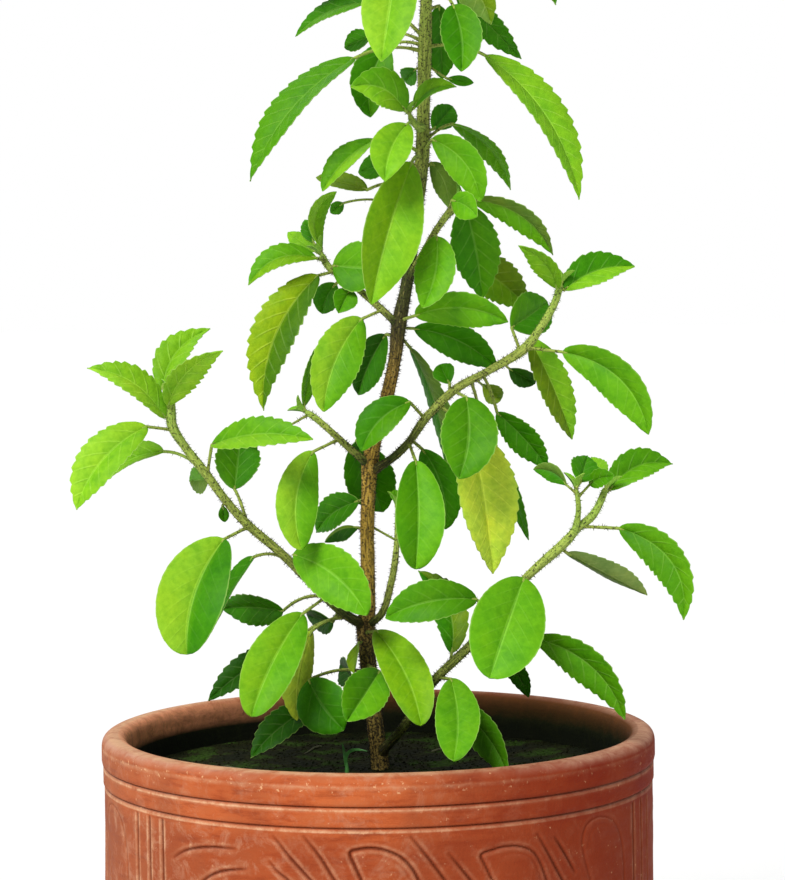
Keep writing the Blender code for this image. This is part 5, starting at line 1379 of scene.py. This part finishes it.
def bladeStations(length, edge, rng):
    # places along a blade and the tooth height at each, sampled so that every tooth keeps its point
    teeth = max(3, round(length / (leafFinish["toothPitch"] + leafFinish["toothPitchPerMm"] * length)))
    starts = np.linspace(*leafFinish["toothedPart"], teeth + 1)
    starts[1:-1] += np.array([rng.uniform(-0.12, 0.12) for _ in range(teeth - 1)]) * (starts[1] - starts[0])
    places, heights = [0.0, 0.018, 0.05], [0.0, 0.0, 0.0]
    peak = leafFinish["toothPeak"]
    for i in range(teeth):
        for phase in leafFinish["toothPhases"]:
            rise = (phase / peak) ** 0.75 if phase <= peak else (1.0 - phase) / (1.0 - peak)
            places.append(starts[i] + (starts[i + 1] - starts[i]) * phase)
            heights.append((rise - 0.5) * min(1.0, (i + 0.6) / 2.0))
    places += [0.975, 0.99, 1.0]
    heights += [-0.3, 0.0, 0.0]
    depth = leafFinish["toothDepth"][edge] * min(1.25, 0.45 + length / 50.0)
    return np.array(places), np.array(heights) * depth


def growBlade(spec, sheet, rng):
    # one blade as a closed thin shell, with a midrib along it
    _, base, tip, arch, left, width, fold, look = spec
    edge = int(look[2])
    length = np.linalg.norm(tip - base)
    places, teeth = bladeStations(length, edge, rng)
    points, ahead = bent(base, (base + tip) * 0.5 + arch, tip, places)
    side = unit(left - ahead * (ahead @ left)[:, None])
    face = np.cross(ahead, side)
    # half width along the blade
    isLeaflet = length < leafFinish["leaflet"]
    fullness = leafFinish["leafletFullness"] if isLeaflet else leafFinish["fullness"][edge]
    tipFullness = fullness if isLeaflet else leafFinish["tipFullness"][edge]
    power = fullness + (tipFullness - fullness) * places
    half = width / 2 * np.sin(math.pi * np.clip(places, 0, 1) ** leafFinish["shift"][edge]) ** power
    half = np.maximum(half, np.where(places < 0.5, *leafFinish["leastHalf"]))
    columns = np.array(leafFinish["columns"])
    across = np.concatenate([-columns[::-1], [0.0], columns])
    spread = np.abs(across)
    lean = math.radians(fold + (math.copysign(leafFinish["leafletFold"], fold) if isLeaflet else 0.0))
    curl = math.radians(leafFinish["curlDeg"]) * (1.0 if abs(fold) < 21 else 0.6)
    # the halves rise from the midrib and level off toward the margins
    sideways = spread * math.cos(lean)
    lifted = spread * math.sin(lean) + curl * spread * (1.0 - spread) * 0.9
    widths = half[:, None] + (teeth * np.minimum(1.0, half / 3.5))[:, None] * (spread ** 5)[None, :]
    shiver = rng.uniform(0.0, 6.28)
    wave = leafFinish["waver"] * np.sin(places * leafFinish["waverPitch"] + shiver)
    wave = wave[:, None] * (across ** 3)[None, :] * min(1.0, width / 18)
    # puffed panels between the veins, and a channel over the midrib
    veins = max(4, round(length / leafFinish["veinSpacing"]))
    slope = leafFinish["veinLean"] * half / length
    phase = veins * (places[:, None] * 0.97 - slope[:, None] * spread[None, :]) + 0.35
    puff = np.abs(np.sin(math.pi * phase)) ** 0.8 - 0.6
    inner = np.sin(math.pi * np.clip(spread, 0, 1)) ** 0.7
    quilt = leafFinish["quilt"][edge] * min(1.0, width / 14) * puff * inner[None, :]
    channel = -leafFinish["channelDepth"] * np.exp(-(spread / leafFinish["channelWidth"]) ** 2)
    channel = channel[None, :] * np.minimum(1.0, half / 3.0)[:, None]
    offset = widths * lifted[None, :] + quilt + channel + wave
    aside = widths * sideways[None, :] * np.sign(across)[None, :]
    grid = points[:, None, :] + side[:, None, :] * aside[:, :, None] + face[:, None, :] * offset[:, :, None]
    normal = unit(np.cross(np.gradient(grid, axis=0), np.gradient(grid, axis=1)))
    normal *= np.sign(np.sum(normal * face[:, None, :], axis=2))[:, :, None]
    middle, rim = leafFinish["thickness"], leafFinish["rimThickness"]
    thick = normal * ((middle + (rim - middle) * spread ** 3) / 2)[None, :, None]
    rows, cols = len(places), len(across)
    first, count = len(sheet["verts"]), 2 * cols
    sheet["verts"].extend(np.concatenate([grid + thick, (grid - thick)[:, ::-1]], axis=1).reshape(-1, 3))
    closeTube(sheet["faces"], first, count, rows)
    # the midrib, a fine ridge on both sides
    keep = places < 0.96
    spine = grid[keep, cols // 2] - face[keep] * 0.1
    ribRadius = leafFinish["midribRadius"]
    taper = np.interp(places[keep], [0.0, 0.1, 0.96], [1.25, 1.0, leafFinish["midribTip"] / ribRadius])
    radii = ribRadius * taper[::2] * min(1.0, width / 14)
    layTube(sheet["verts"], sheet["faces"], spine[::2], radii, 6)
    added = len(sheet["verts"]) - first - rows * count
    # the colour of each half, and where the veins run
    leftGreen, rightGreen = (np.array(linear(greens[look[i]])) * leafFinish["gain"] for i in (0, 1))
    shift = rng.uniform(*leafFinish["shade"])
    blend = np.clip(across / leafFinish["blendWidth"] + 0.5, 0.0, 1.0)[None, :, None]
    tint = (rightGreen * (1 - blend) + leftGreen * blend) * shift
    tint = tint * (1.0 + leafFinish["tipwardShade"] * (places[:, None, None] - 0.5))
    tint[:, :, 3] = 1.0
    ribTint = (leftGreen + rightGreen) / 2 * [1, 1, 1, 0] + [0, 0, 0, 1]
    flat = np.zeros((rows, cols))
    sides, shown = flat + across, flat + leafFinish["veinShow"][edge]
    for key, upper, under, rib in (
            ("leafTint", tint, tint, ribTint), ("leafVein", phase, phase, 0.5),
            ("leafAcross", sides, sides, 0.0), ("leafUnder", flat, flat + 1.0, 0.0),
            ("leafRib", flat, flat, 1.0), ("leafVeinShow", shown, shown, 1.0)):
        both = np.concatenate([upper, under[:, ::-1]], axis=1)
        sheet[key].extend(both.reshape(rows * count, *both.shape[2:]))
        sheet[key].extend([rib] * added)


def basilLeaf():
    # Living basil leaf: fresh green with a faint wax sheen above, partly painted as pale flecks, greyer and
    # downy below, with a painted highlight along the margins, sunken pale veins, and a fine net between
    # them that catches the light.
    leaf, tree, shader = newMaterial("livingBasilLeaf", 0.10)
    across, under, rib, shown, vein = (
        addNode(tree, "ShaderNodeAttribute", attribute_name=name).outputs["Fac"]
        for name in ("leafAcross", "leafUnder", "leafRib", "leafVeinShow", "leafVein"))
    tint = addNode(tree, "ShaderNodeAttribute", attribute_name="leafTint").outputs["Color"]
    coords = addNode(tree, "ShaderNodeTexCoord").outputs["Object"]
    broad, mid, fine = (
        addNode(tree, "ShaderNodeTexNoise", {
            "Vector": coords, "Scale": perMm(size), "Detail": detail}).outputs["Fac"]
        for size, detail in ((11, 3.0), (4, 4.0), (1.6, 4.0)))
    net = addNode(tree, "ShaderNodeTexVoronoi", {"Vector": coords, "Scale": perMm(1.9)},
                  feature="DISTANCE_TO_EDGE").outputs["Distance"]
    # side veins where the phase passes a whole number, the line along the middle, and the midrib
    away = addNode(tree, "ShaderNodeMath", [across], operation="ABSOLUTE")
    part = addNode(tree, "ShaderNodeMath", [vein], operation="FRACT")
    turn = addNode(tree, "ShaderNodeMath", [
        addNode(tree, "ShaderNodeMath", [part, 0.5], operation="SUBTRACT")], operation="ABSOLUTE")
    veins = shareOf(tree, [(turn, 0.40, 0.49, 0.0, 1.0), (away, 0.4, 0.9, 1.0, 0.1), (shown,)])
    middle = addNode(tree, "ShaderNodeMapRange", [away, 0.03, 0.075, 1.0, 0.0])
    lines = addNode(tree, "ShaderNodeMath", [
        addNode(tree, "ShaderNodeMath", [veins, middle], operation="MAXIMUM"), rib], operation="MAXIMUM")
    shade = addNode(tree, "ShaderNodeVectorMath", [tint, (0.66, 0.80, 0.75)], operation="MULTIPLY")
    blotched = paint(tree, tint, [
        ([(broad, 0.42, 0.7, 0.0, 0.45)], (1.30, 1.05, 0.6)),
        ([(broad, 0.46, 0.3, 0.0, 0.5)], shade),
        ([(mid, 0.52, 0.34, 0.0, 0.7)], (0.72, 0.82, 0.7)),
        # pale flecks: mottle together with a painted sheen
        ([(fine, 0.38, 0.66, 0.0, 0.62)], (1.3, 1.2, 1.3))])
    pale = addNode(tree, "ShaderNodeVectorMath", [blotched, (1.35, 1.2, 1.4), (0.08, 0.09, 0.04)],
                   operation="MULTIPLY_ADD")
    finished = paint(tree, blotched, [
        ([(lines, 0.0, 1.0, 0.0, 0.6)], pale),
        # a painted highlight along the leaf margins
        ([(away, 0.95, 1.0, 0.0, 0.5)], "#b2d66c"),
        ([(under, 0.0, 1.0, 0.0, 0.45)], "#7c9c4c")])
    # the net, deeper where the veins show, and lines sunk above and raised below
    weight = addNode(tree, "ShaderNodeMath", [shown, 0.7, 0.105], operation="MULTIPLY_ADD")
    grain = addNode(tree, "ShaderNodeMath", [fine, 0.3], operation="MULTIPLY")
    netted = addNode(tree, "ShaderNodeMath", [net, weight, grain], operation="MULTIPLY_ADD")
    depth = addNode(tree, "ShaderNodeMapRange", [under, 0.0, 1.0, -0.8, 0.9])
    relief = addNode(tree, "ShaderNodeMath", [lines, depth, netted], operation="MULTIPLY_ADD")
    bump = addNode(tree, "ShaderNodeBump", {"Height": relief, "Strength": 0.6, "Distance": 0.35 * mm})
    rough = addNode(tree, "ShaderNodeMapRange", [under, 0.0, 1.0, 0.5, 0.78])
    setInputs(tree, shader, {"Base Color": finished, "Roughness": rough, "Normal": bump})
    return leaf


def growPlant():
    tree = stemTree(stemSkin(), stemBristle())
    leaf = basilLeaf()
    rng = random.Random(leafFinish["seed"])
    for node in stemLines:
        specs = leafSpecs(node) + budSpecs(node)
        wood = growStem(node, tree, specs)
        sheet = {key: [] for key in (
            "verts", "faces", "leafTint", "leafVein", "leafAcross", "leafUnder", "leafRib", "leafVeinShow")}
        for spec in specs:
            growBlade(spec, sheet, rng)
        verts, faces = sheet.pop("verts"), sheet.pop("faces")
        blades = addPiece(node + "_leaves", verts, faces, leaf, [node], 50.0, sheet)
        print(node, "grown:", len(wood.data.polygons), "faces of wood,", len(faces), "of leaf")


growPlant()
